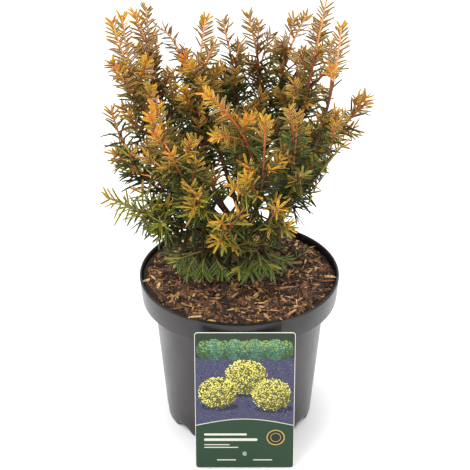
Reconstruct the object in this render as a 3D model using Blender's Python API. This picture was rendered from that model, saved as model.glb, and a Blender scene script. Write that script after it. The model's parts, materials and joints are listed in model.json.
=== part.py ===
"""Golden english yew: a young shrub with several stems, in a round nursery pot.

Sizes are in millimetres and become metres when a mesh is made. The origin is
the centre of the pot's flat underside, +Z is up, and the label hangs on the
-Y side. Every limb follows one curve through its fork, its bend and its tip.
The bare inner part of that curve is a bough. The outer part is the leading
shoot of a mass of foliage, with side shoots and needles grown on it by rule.
"""
import math
import random
from collections import namedtuple

import bmesh
import bpy
import numpy as np
from mathutils import Vector

MM = 0.001
GAP = 0.3

# Pot: a thin moulded shell with an overhanging collar and a notched foot
POT_HEIGHT = 153.5
POT_WALL = 1.2
POT_SIDES = 50
RIM_RADIUS = 95.0
LIP_WIDTH = 2.0
LIP_ROUND = 0.8
COLLAR_HEIGHT = 24.3
COLLAR_FOOT_RADIUS = 92.9
BODY_TOP_RADIUS = 81.8
BODY_FOOT_RADIUS = 70.3
NOTCH_HEIGHT = 5.5
NOTCH_SHAPE = (0.0, 0.0, 1.0, 1.0, 0.0)
NOTCH_START_DEG = -67.5
STAND_RADIUS = 54.0
STAND_SLOPE = 3.0
FOOT_WIDTH = 2.4
FOOT_BEVEL = 0.6
LIP_DEPTH = 3.0
SHOULDER = 4.0
COLLAR_FOOT = POT_HEIGHT - COLLAR_HEIGHT
NOTCH_TOP = NOTCH_HEIGHT + 3.0
CHANNEL_FLOOR = NOTCH_HEIGHT + POT_WALL
SHELF = COLLAR_FOOT + 1.0

# Growing medium: level round the stems, sloping gently to the wall
SOIL_LEVEL = 149.0
SOIL_LEVEL_RADIUS = 74.0
SOIL_HIGH_EDGE = 151.0
SOIL_LOW_EDGE = 146.5
SOIL_LOW_SIDE_DEG = 145.0
SOIL_EASE = 0.2

# Hanging label, and the strap that hooks it over the rim
LABEL_WIDTH = 92.2
LABEL_LENGTH = 147.0
LABEL_THICKNESS = 0.8
LABEL_CORNER = 3.0
LABEL_CORNER_STEPS = 3
LABEL_BACK_TOP = (4.9, -96.7, 148.5)
LABEL_LEAN_DEG = 3.6
LABEL_HOLE_RADIUS = 2.3
LABEL_HOLE_UP = 16.0
LABEL_HOLE_SIDES = 10
STRAP_HALF_ANGLE_DEG = 23.0
STRAP_THICKNESS = 0.8
STRAP_DROP = 12.0
STRAP_EASE = 0.1
STRAP_STEPS = 8

# Standing stems: foot, top, and the radius at each
Stem = namedtuple("Stem", "name foot top foot_radius top_radius")
STEMS = (
    Stem("trunk", (6, 20, SOIL_LEVEL + GAP), (2, 14, 213), 6.4, 4.0),
    Stem("second_stem", (35, 50, SOIL_LEVEL + GAP), (42, 38, 238), 4.8, 3.2),
)
STEM_SIDES = 10
STEM_RINGS = (0.0, 0.03, 0.07, 0.13, 0.22, 0.4, 0.7, 1.0)
ROOT_FLARE = 0.6
FLARE_FADE = 6.0
FLARE_LOBES = 5
FLARE_LOBE_SHARE = 0.4

# Limbs: what they fork from, and where (a height on a standing stem, a share
# of the way along another limb), then the bend, the tip and the bare share
Limb = namedtuple("Limb", "name parent fork bend tip bare")
LIMBS = (
    Limb("left_crest", "trunk", 184, (-94, -6, 276), (-102, -14, 418), 0.26),
    Limb("left_crest_inner", "left_crest", 0.20, (-80, 20, 318), (-82, 8, 416), 0.28),
    Limb("spire_left", "trunk", 192, (-54, 4, 256), (-31, 10, 405), 0.24),
    Limb("left_arch", "trunk", 199, (-64, 44, 428), (-78, 25, 384), 0.26),
    Limb("spire_middle", "trunk", 213, (6, 22, 310), (-14, 35, 392), 0.20),
    Limb("spire_back", "trunk", 201, (34, 50, 296), (9, 54, 389), 0.24),
    Limb("right_inner", "second_stem", 238, (22, 44, 324), (58, 35, 398), 0.14),
    Limb("right_high", "second_stem", 219, (58, 4, 320), (75, 0, 427), 0.20),
    Limb("right_front", "second_stem", 211, (80, -14, 290), (88, -20, 411), 0.23),
    Limb("right_outer", "second_stem", 197, (64, 36, 250), (112, 8, 326), 0.20),
    Limb("right_low", "second_stem", 187, (56, -12, 242), (90, -30, 302), 0.20),
    Limb("left_outer", "trunk", 176, (-98, -14, 244), (-113, -22, 331), 0.22),
    Limb("left_low", "trunk", 168, (-68, -20, 222), (-116, -35, 252), 0.20),
    Limb("front_slant", "trunk", 200, (34, -50, 306), (-26, -56, 366), 0.24),
    Limb("front_middle", "trunk", 190, (22, -62, 246), (22, -60, 340), 0.25),
    Limb("front_left", "trunk", 179, (-44, -56, 240), (-72, -56, 354), 0.22),
    Limb("front_gold", "trunk", 171, (-6, -24, 206), (-16, -70, 248), 0.20),
    Limb("front_right", "second_stem", 198, (48, -38, 262), (50, -58, 344), 0.22),
    Limb("front_low", "trunk", 179, (26, -18, 214), (33, -68, 260), 0.20),
    Limb("skirt_left", "trunk", 160, (-28, -6, 188), (-54, -32, 187), 0.17),
    Limb("skirt_right", "trunk", 159, (16, -4, 190), (19, -38, 188), 0.22),
    Limb("back_left", "trunk", 188, (-54, 66, 222), (-62, 80, 322), 0.20),
    Limb("back_middle", "trunk", 178, (2, 76, 214), (-8, 96, 308), 0.20),
    Limb("back_right", "second_stem", 204, (52, 82, 236), (62, 84, 326), 0.20),
    Limb("back_low_left", "trunk", 170, (-54, 46, 224), (-92, 50, 260), 0.20),
    Limb("back_low_right", "second_stem", 180, (62, 68, 226), (80, 68, 280), 0.20),
)
LIMB_TIP_RADIUS = 1.0
LIMB_LEAST_RADIUS = 1.2
LIMB_RADIUS_PER_LENGTH = 0.0055
LIMB_SIDES = 6
LIMB_RING_STEP = 20.0
CURVE_STEPS = 80
CURVE_LEAST_STEP = 0.5

# Side shoots, set round each leading shoot by a constant turn
SIDE_FIRST = 8.0
SIDE_STEP = 18.0
SIDE_LAST_SHARE = 0.72
SIDE_TURN_DEG = 137.5
SIDE_ANGLE_DEG = 48.0
SIDE_SHARE = 0.36
SIDE_EXTRA = 14.0
SIDE_LEAST = 14.0
SIDE_MOST = 50.0
SIDE_GROWTH_STEP = 5.0
SIDE_RISE = 0.10
SIDE_RADIUS = 1.4
SIDE_TIP_RADIUS = 0.9
SIDE_SPACING_RANGE = (0.85, 1.15)
SIDE_LENGTH_RANGE = (0.85, 1.2)
CORE_WIDENING = 1.2

# Needles, three to a whorl
WHORL_STEP = 15.0
WHORL_TURN_DEG = 41.0
NEEDLE_BASE = 4.4
NEEDLE_LENGTH = 22.0
NEEDLE_RADIUS = 1.3
NEEDLE_LEAN_DEG = 56.0
TIP_LEAN_DEG = 26.0
TIP_STRETCH = 26.0
TIP_LENGTH_SHARE = 0.72
NEEDLE_LENGTH_RANGE = (0.88, 1.1)
BUD_LENGTH = 2.2
FIRST_WHORL_SHARE = 0.6

# Free room kept round things that don't touch, and how many segments it may hold
ROOM_SEGMENTS = 20000
NEEDLE_ROOM = 0.35
CORE_ROOM = 1.2
SOIL_ROOM = 2.0

# The crown's axis, its top and its reach at each height
CROWN_AXIS = (-5.0, 8.0)
CROWN_TOP = 432.0
CROWN_HEIGHTS = (150, 190, 235, 300, 360, 432)
CROWN_REACHES = (66, 92, 124, 128, 120, 112)


def linear(hex_colour):
    """Turn an sRGB hex colour into the linear values that Blender stores."""
    values = [int(hex_colour[i:i + 2], 16) / 255 for i in (1, 3, 5)]
    return [v / 12.92 if v <= 0.04045 else ((v + 0.055) / 1.055) ** 2.4 for v in values]


def material(name, hex_colour, roughness):
    """A plain, non-metallic Principled material in one colour."""
    made = bpy.data.materials.new(name)
    made.use_nodes = True
    shader = made.node_tree.nodes["Principled BSDF"]
    shader.inputs["Base Color"].default_value = (*linear(hex_colour), 1.0)
    shader.inputs["Roughness"].default_value = roughness
    return made


def add_object(name, verts, faces, finish=None):
    """Make an object from millimetre vertices, with its faces pointing out."""
    mesh = bpy.data.meshes.new(name)
    mesh.from_pydata([Vector(v) * MM for v in verts], [], faces)
    shape = bmesh.new()
    shape.from_mesh(mesh)
    bmesh.ops.recalc_face_normals(shape, faces=shape.faces)
    shape.to_mesh(mesh)
    shape.free()
    if finish:
        mesh.materials.append(finish)
    made = bpy.data.objects.new(name, mesh)
    bpy.context.scene.collection.objects.link(made)
    return made


def remove_object(made):
    """Take a helper object away with its mesh."""
    mesh = made.data
    bpy.data.objects.remove(made)
    bpy.data.meshes.remove(mesh)


def smooth(made, angle_deg=35.0):
    """Shade a round piece smooth, with its real edges kept sharp."""
    made.data.shade_smooth()
    made.data.set_sharp_from_angle(angle=math.radians(angle_deg))


def apply_boolean(made, operation, cutter=None, group=None):
    """Cut an object, or join a collection to it, and keep the result as its mesh."""
    step = made.modifiers.new(operation, "BOOLEAN")
    step.operation = operation
    if group:
        step.operand_type = "COLLECTION"
        step.collection = group
    else:
        step.object = cutter
    graph = bpy.context.evaluated_depsgraph_get()
    result = bpy.data.meshes.new_from_object(made.evaluated_get(graph))
    old = made.data
    made.modifiers.clear()
    made.data = result
    bpy.data.meshes.remove(old)
    result.name = made.name
    drop_scraps(result)


def drop_scraps(mesh):
    """Keep only the largest of the separate bodies that a Boolean leaves."""
    shape = bmesh.new()
    shape.from_mesh(mesh)
    bodies, seen = [], set()
    for face in shape.faces:
        if face in seen:
            continue
        body, front = {face}, [face]
        while front:
            fresh = {f for g in front for e in g.edges if e.is_manifold for f in e.link_faces} - body
            body |= fresh
            front = list(fresh)
        seen |= body
        bodies.append(body)
    bodies.sort(key=len)
    scraps = [face for body in bodies[:-1] for face in body]
    bmesh.ops.delete(shape, geom=scraps, context="FACES")
    shape.to_mesh(mesh)
    shape.free()


def walls(first, second):
    """Quads between two rings of vertices, each given as a list of indices."""
    count = len(first)
    return [(first[i], first[(i + 1) % count], second[(i + 1) % count], second[i])
            for i in range(count)]


def stacked_rings(name, rings, finish=None):
    """A solid through a list of equal rings of points, with flat ends."""
    sides = len(rings[0])
    verts = [point for ring in rings for point in ring]
    index = [list(range(start, start + sides)) for start in range(0, len(verts), sides)]
    faces = [index[0], index[-1]]
    for first, second in zip(index, index[1:]):
        faces += walls(first, second)
    return add_object(name, verts, faces, finish)


def turned_solid(name, profile, finish):
    """Turn a profile of (radius, height) from the axis below to the axis above.

    A height may be a function of the side's number, for notches and slopes.
    """
    rings = []
    for radius, height in profile:
        ring = []
        for side in range(POT_SIDES):
            angle = math.radians(NOTCH_START_DEG) + 2 * math.pi * side / POT_SIDES
            z = height(side) if callable(height) else height
            ring.append((radius * math.sin(angle), -radius * math.cos(angle), z))
        rings.append(ring)
    made = stacked_rings(name, rings, finish)
    smooth(made)
    return made


def body_radius(height):
    """Outer radius of the pot's tapering body at a height."""
    return BODY_FOOT_RADIUS + (BODY_TOP_RADIUS - BODY_FOOT_RADIUS) * height / COLLAR_FOOT


def foot_height(side):
    """Height of the pot's lower edge: on the ground, or up in a drain notch."""
    return NOTCH_HEIGHT * NOTCH_SHAPE[side % len(NOTCH_SHAPE)]


def soil_edge(side):
    """Height of the soil where it meets the wall, low on one side of the back."""
    angle = NOTCH_START_DEG + 360.0 * side / POT_SIDES - SOIL_LOW_SIDE_DEG
    low = (1 + math.cos(math.radians(angle))) / 2
    return SOIL_HIGH_EDGE + (SOIL_LOW_EDGE - SOIL_HIGH_EDGE) * low


def make_pot():
    """The pot's shell, from its standing face out, up, over the lip and back in."""
    turned_solid("pot", (
        (STAND_RADIUS, 0.0),
        (STAND_RADIUS + STAND_SLOPE, NOTCH_HEIGHT),
        (BODY_FOOT_RADIUS - FOOT_WIDTH - FOOT_BEVEL, NOTCH_HEIGHT + GAP),
        (BODY_FOOT_RADIUS - FOOT_WIDTH, foot_height),
        (BODY_FOOT_RADIUS, foot_height),
        (body_radius(NOTCH_TOP), NOTCH_TOP),
        (BODY_TOP_RADIUS, COLLAR_FOOT),
        (COLLAR_FOOT_RADIUS, COLLAR_FOOT),
        (RIM_RADIUS, POT_HEIGHT - LIP_ROUND),
        (RIM_RADIUS - LIP_ROUND, POT_HEIGHT),
        (RIM_RADIUS - LIP_WIDTH, POT_HEIGHT),
        (RIM_RADIUS - LIP_WIDTH - LIP_ROUND, POT_HEIGHT - LIP_DEPTH),
        (COLLAR_FOOT_RADIUS - POT_WALL, COLLAR_FOOT + SHOULDER),
        (BODY_TOP_RADIUS - POT_WALL, SHELF),
        (body_radius(CHANNEL_FLOOR) - POT_WALL, CHANNEL_FLOOR + FOOT_BEVEL),
        (STAND_RADIUS + STAND_SLOPE - FOOT_BEVEL, CHANNEL_FLOOR),
        (STAND_RADIUS - FOOT_BEVEL, POT_WALL),
    ), material("black_polypropylene", "#3c3a39", 0.45))


def make_soil():
    """The solid fill of growing medium, clear of the pot all round."""
    inside = POT_WALL + GAP
    turned_solid("soil", (
        (STAND_RADIUS - 2 * FOOT_BEVEL, inside),
        (STAND_RADIUS + STAND_SLOPE - 2 * FOOT_BEVEL, CHANNEL_FLOOR + GAP),
        (body_radius(CHANNEL_FLOOR) - inside - SOIL_EASE, CHANNEL_FLOOR + FOOT_BEVEL + GAP),
        (BODY_TOP_RADIUS - inside - SOIL_EASE, SHELF + GAP),
        (COLLAR_FOOT_RADIUS - inside - SOIL_EASE, COLLAR_FOOT + SHOULDER + GAP),
        (COLLAR_FOOT_RADIUS - inside, soil_edge),
        (SOIL_LEVEL_RADIUS, SOIL_LEVEL),
    ), material("bark_and_peat", "#4a3023", 0.95))


def make_label():
    """The printed card, with round corners and a punched hole, leaning out."""
    half = LABEL_WIDTH / 2 - LABEL_CORNER
    deep = LABEL_LENGTH - LABEL_CORNER
    outline = []
    for x, z, start in ((half, -LABEL_CORNER, 0.0), (-half, -LABEL_CORNER, 90.0),
                        (-half, -deep, 180.0), (half, -deep, 270.0)):
        for step in range(LABEL_CORNER_STEPS + 1):
            angle = math.radians(start + 90.0 * step / LABEL_CORNER_STEPS)
            outline.append((x + LABEL_CORNER * math.cos(angle), z + LABEL_CORNER * math.sin(angle)))
    faces = [[(x, y, z) for x, z in outline] for y in (0.0, -LABEL_THICKNESS)]
    label = stacked_rings("label", faces, material("printed_card", "#4b6b46", 0.35))
    hole = (0.0, 0.0, (LABEL_HOLE_UP - LABEL_LENGTH) * MM)
    bpy.ops.mesh.primitive_cylinder_add(
        vertices=LABEL_HOLE_SIDES, radius=LABEL_HOLE_RADIUS * MM, depth=4 * LABEL_THICKNESS * MM,
        location=hole, rotation=(math.pi / 2, 0.0, 0.0))
    punch = bpy.context.object
    apply_boolean(label, "DIFFERENCE", cutter=punch)
    remove_object(punch)
    label.location = Vector(LABEL_BACK_TOP) * MM
    label.rotation_euler = (-math.radians(LABEL_LEAN_DEG), 0.0, 0.0)


def make_strap():
    """The label's black strap: an upturned channel bent along the rim."""
    outer = RIM_RADIUS + GAP + STRAP_EASE
    inner = RIM_RADIUS - LIP_WIDTH - LIP_ROUND - GAP + STRAP_EASE
    under = POT_HEIGHT + GAP
    top = under + STRAP_THICKNESS
    tuck = SOIL_HIGH_EDGE + 2 * GAP + STRAP_EASE
    section = (
        (outer, POT_HEIGHT - STRAP_DROP),
        (outer + STRAP_THICKNESS, POT_HEIGHT - STRAP_DROP),
        (outer + STRAP_THICKNESS, under),
        (outer + STRAP_THICKNESS / 2, top),
        (inner - STRAP_THICKNESS / 2, top),
        (inner - STRAP_THICKNESS, under),
        (inner - STRAP_THICKNESS, tuck),
        (inner, tuck),
        (inner, under),
        (outer, under),
    )
    rings = []
    for i in range(STRAP_STEPS + 1):
        angle = math.radians(STRAP_HALF_ANGLE_DEG) * (2 * i / STRAP_STEPS - 1)
        rings.append([(r * math.sin(angle), -r * math.cos(angle), z) for r, z in section])
    stacked_rings("label_strap", rings, material("black_strap", "#1b1b1b", 0.5))


class Curve:
    """A smooth line with even measure along it, and frames that never twist."""

    def __init__(self, points):
        self.points = points
        self.marks = [0.0]
        for a, b in zip(points, points[1:]):
            self.marks.append(self.marks[-1] + (b - a).length)
        self.length = self.marks[-1]
        self.sides = []
        side = (points[1] - points[0]).orthogonal().normalized()
        for i in range(len(points)):
            along = self.heading(i)
            side = (side - along * side.dot(along)).normalized()
            self.sides.append(side)

    def heading(self, i):
        """Unit tangent at one of the curve's own points."""
        ahead = self.points[min(i + 1, len(self.points) - 1)]
        return (ahead - self.points[max(i - 1, 0)]).normalized()

    def at(self, distance):
        """The point, tangent and side vector at a distance along the curve."""
        i = int(np.searchsorted(self.marks, distance))
        i = min(max(i, 1), len(self.points) - 1)
        share = (distance - self.marks[i - 1]) / (self.marks[i] - self.marks[i - 1])
        point = self.points[i - 1].lerp(self.points[i], share)
        along = self.heading(i - 1).lerp(self.heading(i), share).normalized()
        side = self.sides[i - 1].lerp(self.sides[i], share)
        return point, along, (side - along * side.dot(along)).normalized()

    def part(self, low, high):
        """The stretch of this curve between two distances, as its own curve."""
        after, before = low + CURVE_LEAST_STEP, high - CURVE_LEAST_STEP
        inner = [p for p, mark in zip(self.points, self.marks) if after < mark < before]
        return Curve([self.at(low)[0]] + inner + [self.at(high)[0]])

    def ring(self, distance, radius, sides, turn=0.0):
        """A ring of points square to the curve."""
        point, along, side = self.at(distance)
        across = along.cross(side)
        angles = [turn + 2 * math.pi * k / sides for k in range(sides)]
        return [point + (side * math.cos(a) + across * math.sin(a)) * radius for a in angles]


def limb_radius(length, share):
    """Radius of a limb of a given whole length, at a share of the way along."""
    base = LIMB_LEAST_RADIUS + LIMB_RADIUS_PER_LENGTH * length
    return base + (LIMB_TIP_RADIUS - base) * share


def limb_curves():
    """The whole curve of every limb, by name, from its fork to its tip."""
    ends = {stem.name: (Vector(stem.foot), Vector(stem.top)) for stem in STEMS}
    curves = {}
    for limb in LIMBS:
        if limb.parent in ends:
            foot, top = ends[limb.parent]
            start = foot.lerp(top, (limb.fork - foot.z) / (top.z - foot.z))
        else:
            whole = curves[limb.parent]
            start = whole.at(whole.length * limb.fork)[0]
        bend, tip = Vector(limb.bend), Vector(limb.tip)
        points = []
        for i in range(CURVE_STEPS + 1):
            t = i / CURVE_STEPS
            points.append(start * (1 - t) ** 2 + bend * 2 * t * (1 - t) + tip * t ** 2)
        curves[limb.name] = Curve(points)
    return curves


def stem_solid(stem, swell, finish=None):
    """A standing stem with its root flare; swell widens it, for a cutter."""
    foot, top = Vector(stem.foot), Vector(stem.top)
    rings = []
    for share in STEM_RINGS:
        centre = foot.lerp(top, share)
        radius = stem.foot_radius + (stem.top_radius - stem.foot_radius) * share
        flare = ROOT_FLARE * math.exp((foot.z - centre.z) / FLARE_FADE)
        ring = []
        for k in range(STEM_SIDES):
            angle = 2 * math.pi * k / STEM_SIDES
            lobe = 1 - FLARE_LOBE_SHARE * (1 - math.cos(FLARE_LOBES * angle))
            out = Vector((math.cos(angle), math.sin(angle), 0.0))
            ring.append(centre + out * (radius * (1 + flare * lobe) + swell))
        rings.append(ring)
    return stacked_rings(stem.name, rings, finish)


def limb_solid(name, curve, share, swell, finish=None):
    """The bare part of a limb, from its fork to where its foliage begins."""
    end = curve.length * share
    steps = max(2, round(end / LIMB_RING_STEP))
    rings = []
    for i in range(steps + 1):
        distance = end * i / steps
        radius = limb_radius(curve.length, distance / curve.length) + swell
        rings.append(curve.ring(distance, radius, LIMB_SIDES))
    return stacked_rings(name, rings, finish)


def make_limbs(curves):
    """The standing stems, and every bough cut 0.3 mm clear of what it forks from."""
    bark = material("yew_bark", "#6b4430", 0.85)
    young = material("young_yew_bark", "#8a5230", 0.75)
    by_name = {limb.name: limb for limb in LIMBS}
    for stem in STEMS:
        smooth(stem_solid(stem, 0.0, bark), 50.0)
    for limb in LIMBS:
        bough = limb_solid("bough_" + limb.name, curves[limb.name], limb.bare, 0.0, young)
        if limb.parent in by_name:
            parent = by_name[limb.parent]
            cutter = limb_solid("cutter", curves[parent.name], parent.bare, GAP)
        else:
            stem = next(s for s in STEMS if s.name == limb.parent)
            cutter = stem_solid(stem, GAP)
        apply_boolean(bough, "DIFFERENCE", cutter=cutter)
        remove_object(cutter)
        smooth(bough, 50.0)


class Room:
    """Tapering segments of everything grown so far, to keep new growth clear."""

    def __init__(self):
        self.ends = np.zeros((ROOM_SEGMENTS, 8))
        self.owners = np.zeros(ROOM_SEGMENTS, int)
        self.count = 0

    def add(self, start, end, start_radius, end_radius, owner):
        """Record one segment that belongs to a limb or a shoot."""
        self.ends[self.count] = (*start, *end, start_radius, end_radius)
        self.owners[self.count] = owner
        self.count += 1

    def add_curve(self, curve, low, high, radius, owner):
        """Record a stretch of a curve as short segments."""
        steps = max(1, round((high - low) / SIDE_GROWTH_STEP))
        marks = [low + (high - low) * i / steps for i in range(steps + 1)]
        for a, b in zip(marks, marks[1:]):
            self.add(curve.at(a)[0], curve.at(b)[0], radius(a), radius(b), owner)

    def clearance(self, start, end, start_radius, end_radius, skip):
        """Least free distance from a segment to all that aren't skipped."""
        kept = ~np.isin(self.owners[:self.count], skip)
        rows = self.ends[:self.count][kept]
        if not len(rows):
            return math.inf
        p, d1 = np.array(start), np.array(end - start)
        q, d2 = rows[:, 0:3], rows[:, 3:6] - rows[:, 0:3]
        r = p - q
        a, e = d1 @ d1, np.maximum((d2 * d2).sum(1), 1e-9)
        b, c, f = d2 @ d1, r @ d1, (d2 * r).sum(1)
        spread = a * e - b * b
        s = np.clip(np.where(spread > 1e-9, (b * f - c * e) / np.maximum(spread, 1e-9), 0.0), 0.0, 1.0)
        t = np.clip((b * s + f) / e, 0.0, 1.0)
        s = np.clip((b * t - c) / a, 0.0, 1.0)
        apart = np.linalg.norm(r + s[:, None] * d1 - t[:, None] * d2, axis=1)
        here = start_radius + (end_radius - start_radius) * s
        there = rows[:, 6] + (rows[:, 7] - rows[:, 6]) * t
        return float((apart - here - there).min())


class Territory:
    """Gives each mass of foliage the space that is nearest its own leading shoot."""

    def __init__(self, leaders):
        points, names = [], []
        for name, curve in leaders.items():
            points += [tuple(p) for p in curve.points]
            names += [name] * len(curve.points)
        self.points = np.array(points)
        self.names = names

    def owner(self, point):
        """Name of the mass whose space a point lies in."""
        return self.names[int(((self.points - np.array(point)) ** 2).sum(1).argmin())]


def in_crown(point):
    """Whether a point lies inside the crown's outline and above the soil."""
    if not SOIL_LEVEL + SOIL_ROOM < point.z < CROWN_TOP:
        return False
    reach = np.interp(point.z, CROWN_HEIGHTS, CROWN_REACHES)
    return math.hypot(point.x - CROWN_AXIS[0], point.y - CROWN_AXIS[1]) < reach


Shoot = namedtuple("Shoot", "mass curve base_radius tip_radius tag")


def side_curve(leader, distance, turn, length, mass, territory, room, skip):
    """Grow one side shoot step by step until its space, or its length, ends."""
    point, along, side = leader.at(distance)
    across = along.cross(side)
    outward = side * math.cos(turn) + across * math.sin(turn)
    lean = math.radians(SIDE_ANGLE_DEG)
    heading = along * math.cos(lean) + outward * math.sin(lean)
    points = [point]
    while len(points) * SIDE_GROWTH_STEP <= length:
        heading = (heading + Vector((0.0, 0.0, SIDE_RISE))).normalized()
        after = points[-1] + heading * SIDE_GROWTH_STEP
        beyond = after + heading * SIDE_GROWTH_STEP
        if not in_crown(beyond) or territory.owner(after) != mass:
            break
        if room.clearance(points[-1], after, SIDE_RADIUS, SIDE_RADIUS, skip) < CORE_ROOM:
            break
        points.append(after)
    if (len(points) - 1) * SIDE_GROWTH_STEP < SIDE_LEAST:
        return None
    return Curve(points)


def grow_shoots(curves):
    """All shoots: the leading shoot of each mass, then its side shoots."""
    room = Room()
    leaders = {}
    tags = {}
    for stem in STEMS:
        room.add(Vector(stem.foot), Vector(stem.top), stem.foot_radius, stem.top_radius, -1)
    for tag, limb in enumerate(LIMBS):
        curve = curves[limb.name]
        bare = curve.length * limb.bare
        leaders[limb.name] = curve.part(bare + GAP, curve.length)
        tags[limb.name] = tag
        room.add_curve(curve, 0.0, bare, lambda d, c=curve: limb_radius(c.length, d / c.length), -1)
        room.add_curve(leaders[limb.name], 0.0, leaders[limb.name].length,
                       lambda d, c=curve, b=bare: limb_radius(c.length, (b + d) / c.length), tag)
    territory = Territory(leaders)
    shoots = []
    for limb in LIMBS:
        leader = leaders[limb.name]
        base = limb_radius(curves[limb.name].length, limb.bare) * CORE_WIDENING
        shoots.append(Shoot(limb.name, leader, base, LIMB_TIP_RADIUS, tags[limb.name]))
    for limb in LIMBS:
        rule = random.Random(limb.name)
        leader = leaders[limb.name]
        own = tags[limb.name]
        distance, turn = SIDE_FIRST, rule.uniform(0.0, 2 * math.pi)
        while distance < leader.length * SIDE_LAST_SHARE:
            length = SIDE_EXTRA + SIDE_SHARE * (leader.length - distance)
            length = min(SIDE_MOST, length * rule.uniform(*SIDE_LENGTH_RANGE))
            grown = side_curve(leader, distance, turn, length, limb.name, territory, room, [own])
            if grown:
                tag = len(shoots)
                shoots.append(Shoot(limb.name, grown, SIDE_RADIUS, SIDE_TIP_RADIUS, tag))
                room.add_curve(grown, 0.0, grown.length, lambda d: SIDE_RADIUS, tag)
            distance += SIDE_STEP * rule.uniform(*SIDE_SPACING_RANGE)
            turn += math.radians(SIDE_TURN_DEG)
    return shoots, territory, room


def needle_tip(shoot, distance, centre, outward, along, rule):
    """Where a needle ends: leaning forward, more so and shorter near the tip."""
    to_tip = min((shoot.curve.length - distance) / TIP_STRETCH, 1.0)
    lean = math.radians(TIP_LEAN_DEG + (NEEDLE_LEAN_DEG - TIP_LEAN_DEG) * to_tip)
    length = NEEDLE_LENGTH * (TIP_LENGTH_SHARE + (1 - TIP_LENGTH_SHARE) * to_tip)
    length *= rule.uniform(*NEEDLE_LENGTH_RANGE)
    return centre + (along * math.cos(lean) + outward * math.sin(lean)) * length


def shoot_mesh(shoot, territory, room):
    """One closed mesh: a three-sided core whose whorls are drawn out into needles."""
    rule = random.Random(shoot.tag)
    curve = shoot.curve
    turn = rule.uniform(0.0, 2 * math.pi)
    verts, faces = [], []

    def add_ring(distance):
        share = distance / curve.length
        radius = shoot.base_radius + (shoot.tip_radius - shoot.base_radius) * share
        verts.extend(curve.ring(distance, radius, 3, turn))
        return list(range(len(verts) - 3, len(verts)))

    last = add_ring(0.0)
    faces.append(last)
    first = WHORL_STEP * FIRST_WHORL_SHARE
    room_for_whorls = curve.length - first - NEEDLE_BASE - BUD_LENGTH / 2
    count = max(1, round(room_for_whorls / WHORL_STEP))
    for number in range(count + 1):
        distance = first + room_for_whorls * number / count
        lower, upper = add_ring(distance), add_ring(distance + NEEDLE_BASE)
        faces += walls(last, lower)
        core, along, _ = curve.at(distance + NEEDLE_BASE / 2)
        for quad in walls(lower, upper):
            root = sum((verts[i] for i in quad), Vector()) / 4
            outward = (root - core).normalized()
            tip = needle_tip(shoot, distance, root, outward, along, rule)
            if needle_fits(shoot, root, tip, territory, room):
                faces += [(quad[i], quad[(i + 1) % 4], len(verts)) for i in range(4)]
                verts.append(tip)
                room.add(root, tip, NEEDLE_RADIUS, 0.0, shoot.tag)
            else:
                faces.append(quad)
        last = upper
        turn += math.radians(WHORL_TURN_DEG)
    end, along, _ = curve.at(curve.length)
    faces += [(last[k], last[(k + 1) % 3], len(verts)) for k in range(3)]
    verts.append(end + along * BUD_LENGTH / 2)
    return verts, faces


def needle_fits(shoot, root, tip, territory, room):
    """Whether a needle stays in its own mass's space and clear of all else."""
    if not in_crown(tip):
        return False
    for point in (root.lerp(tip, 0.5), tip):
        if territory.owner(point) != shoot.mass:
            return False
    return room.clearance(root, tip, NEEDLE_RADIUS, 0.0, [shoot.tag]) > NEEDLE_ROOM


def foliage_finish(mass):
    """Low shoots stay green, inner ones turn olive and the tops are gold."""
    if mass.startswith("skirt"):
        return material("shaded_needles", "#4f7038", 0.55)
    if mass.startswith("back") or mass.endswith("low"):
        return material("olive_needles", "#6b6a2e", 0.55)
    return material("golden_needles", "#a8812f", 0.55)


def make_foliage(curves):
    """Each mass of foliage as one solid, its shoots joined by one union."""
    shoots, territory, room = grow_shoots(curves)
    for limb in LIMBS:
        own = [shoot for shoot in shoots if shoot.mass == limb.name]
        pieces = [add_object("foliage_" + limb.name, *shoot_mesh(shoot, territory, room))
                  for shoot in own]
        whole, parts = pieces[0], pieces[1:]
        if parts:
            group = bpy.data.collections.new("side_shoots")
            for part in parts:
                group.objects.link(part)
            apply_boolean(whole, "UNION", group=group)
            for part in parts:
                remove_object(part)
            bpy.data.collections.remove(group)
        whole.data.materials.clear()
        whole.data.materials.append(foliage_finish(limb.name))


def main():
    """Clear the scene and build the pot, its fill, its label and the plant."""
    for old in list(bpy.data.objects):
        bpy.data.objects.remove(old)
    make_pot()
    make_soil()
    make_label()
    make_strap()
    curves = limb_curves()
    make_limbs(curves)
    make_foliage(curves)


main()
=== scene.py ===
"""Golden english yew in a round nursery pot: its looks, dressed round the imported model.

The plant's tables and rules are in millimetres, as in the part's own source, and
become metres when a mesh is made. The limbs and their side shoots follow the
source's rule. Finer twigs, needles and buds then grow on them by the same rule.
"""
import json
import math
import random
from collections import namedtuple
from functools import lru_cache

import bpy
import numpy as np
from bpy.props import FloatProperty, FloatVectorProperty, IntProperty, PointerProperty
from mathutils import Matrix, Vector, kdtree, noise

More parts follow.
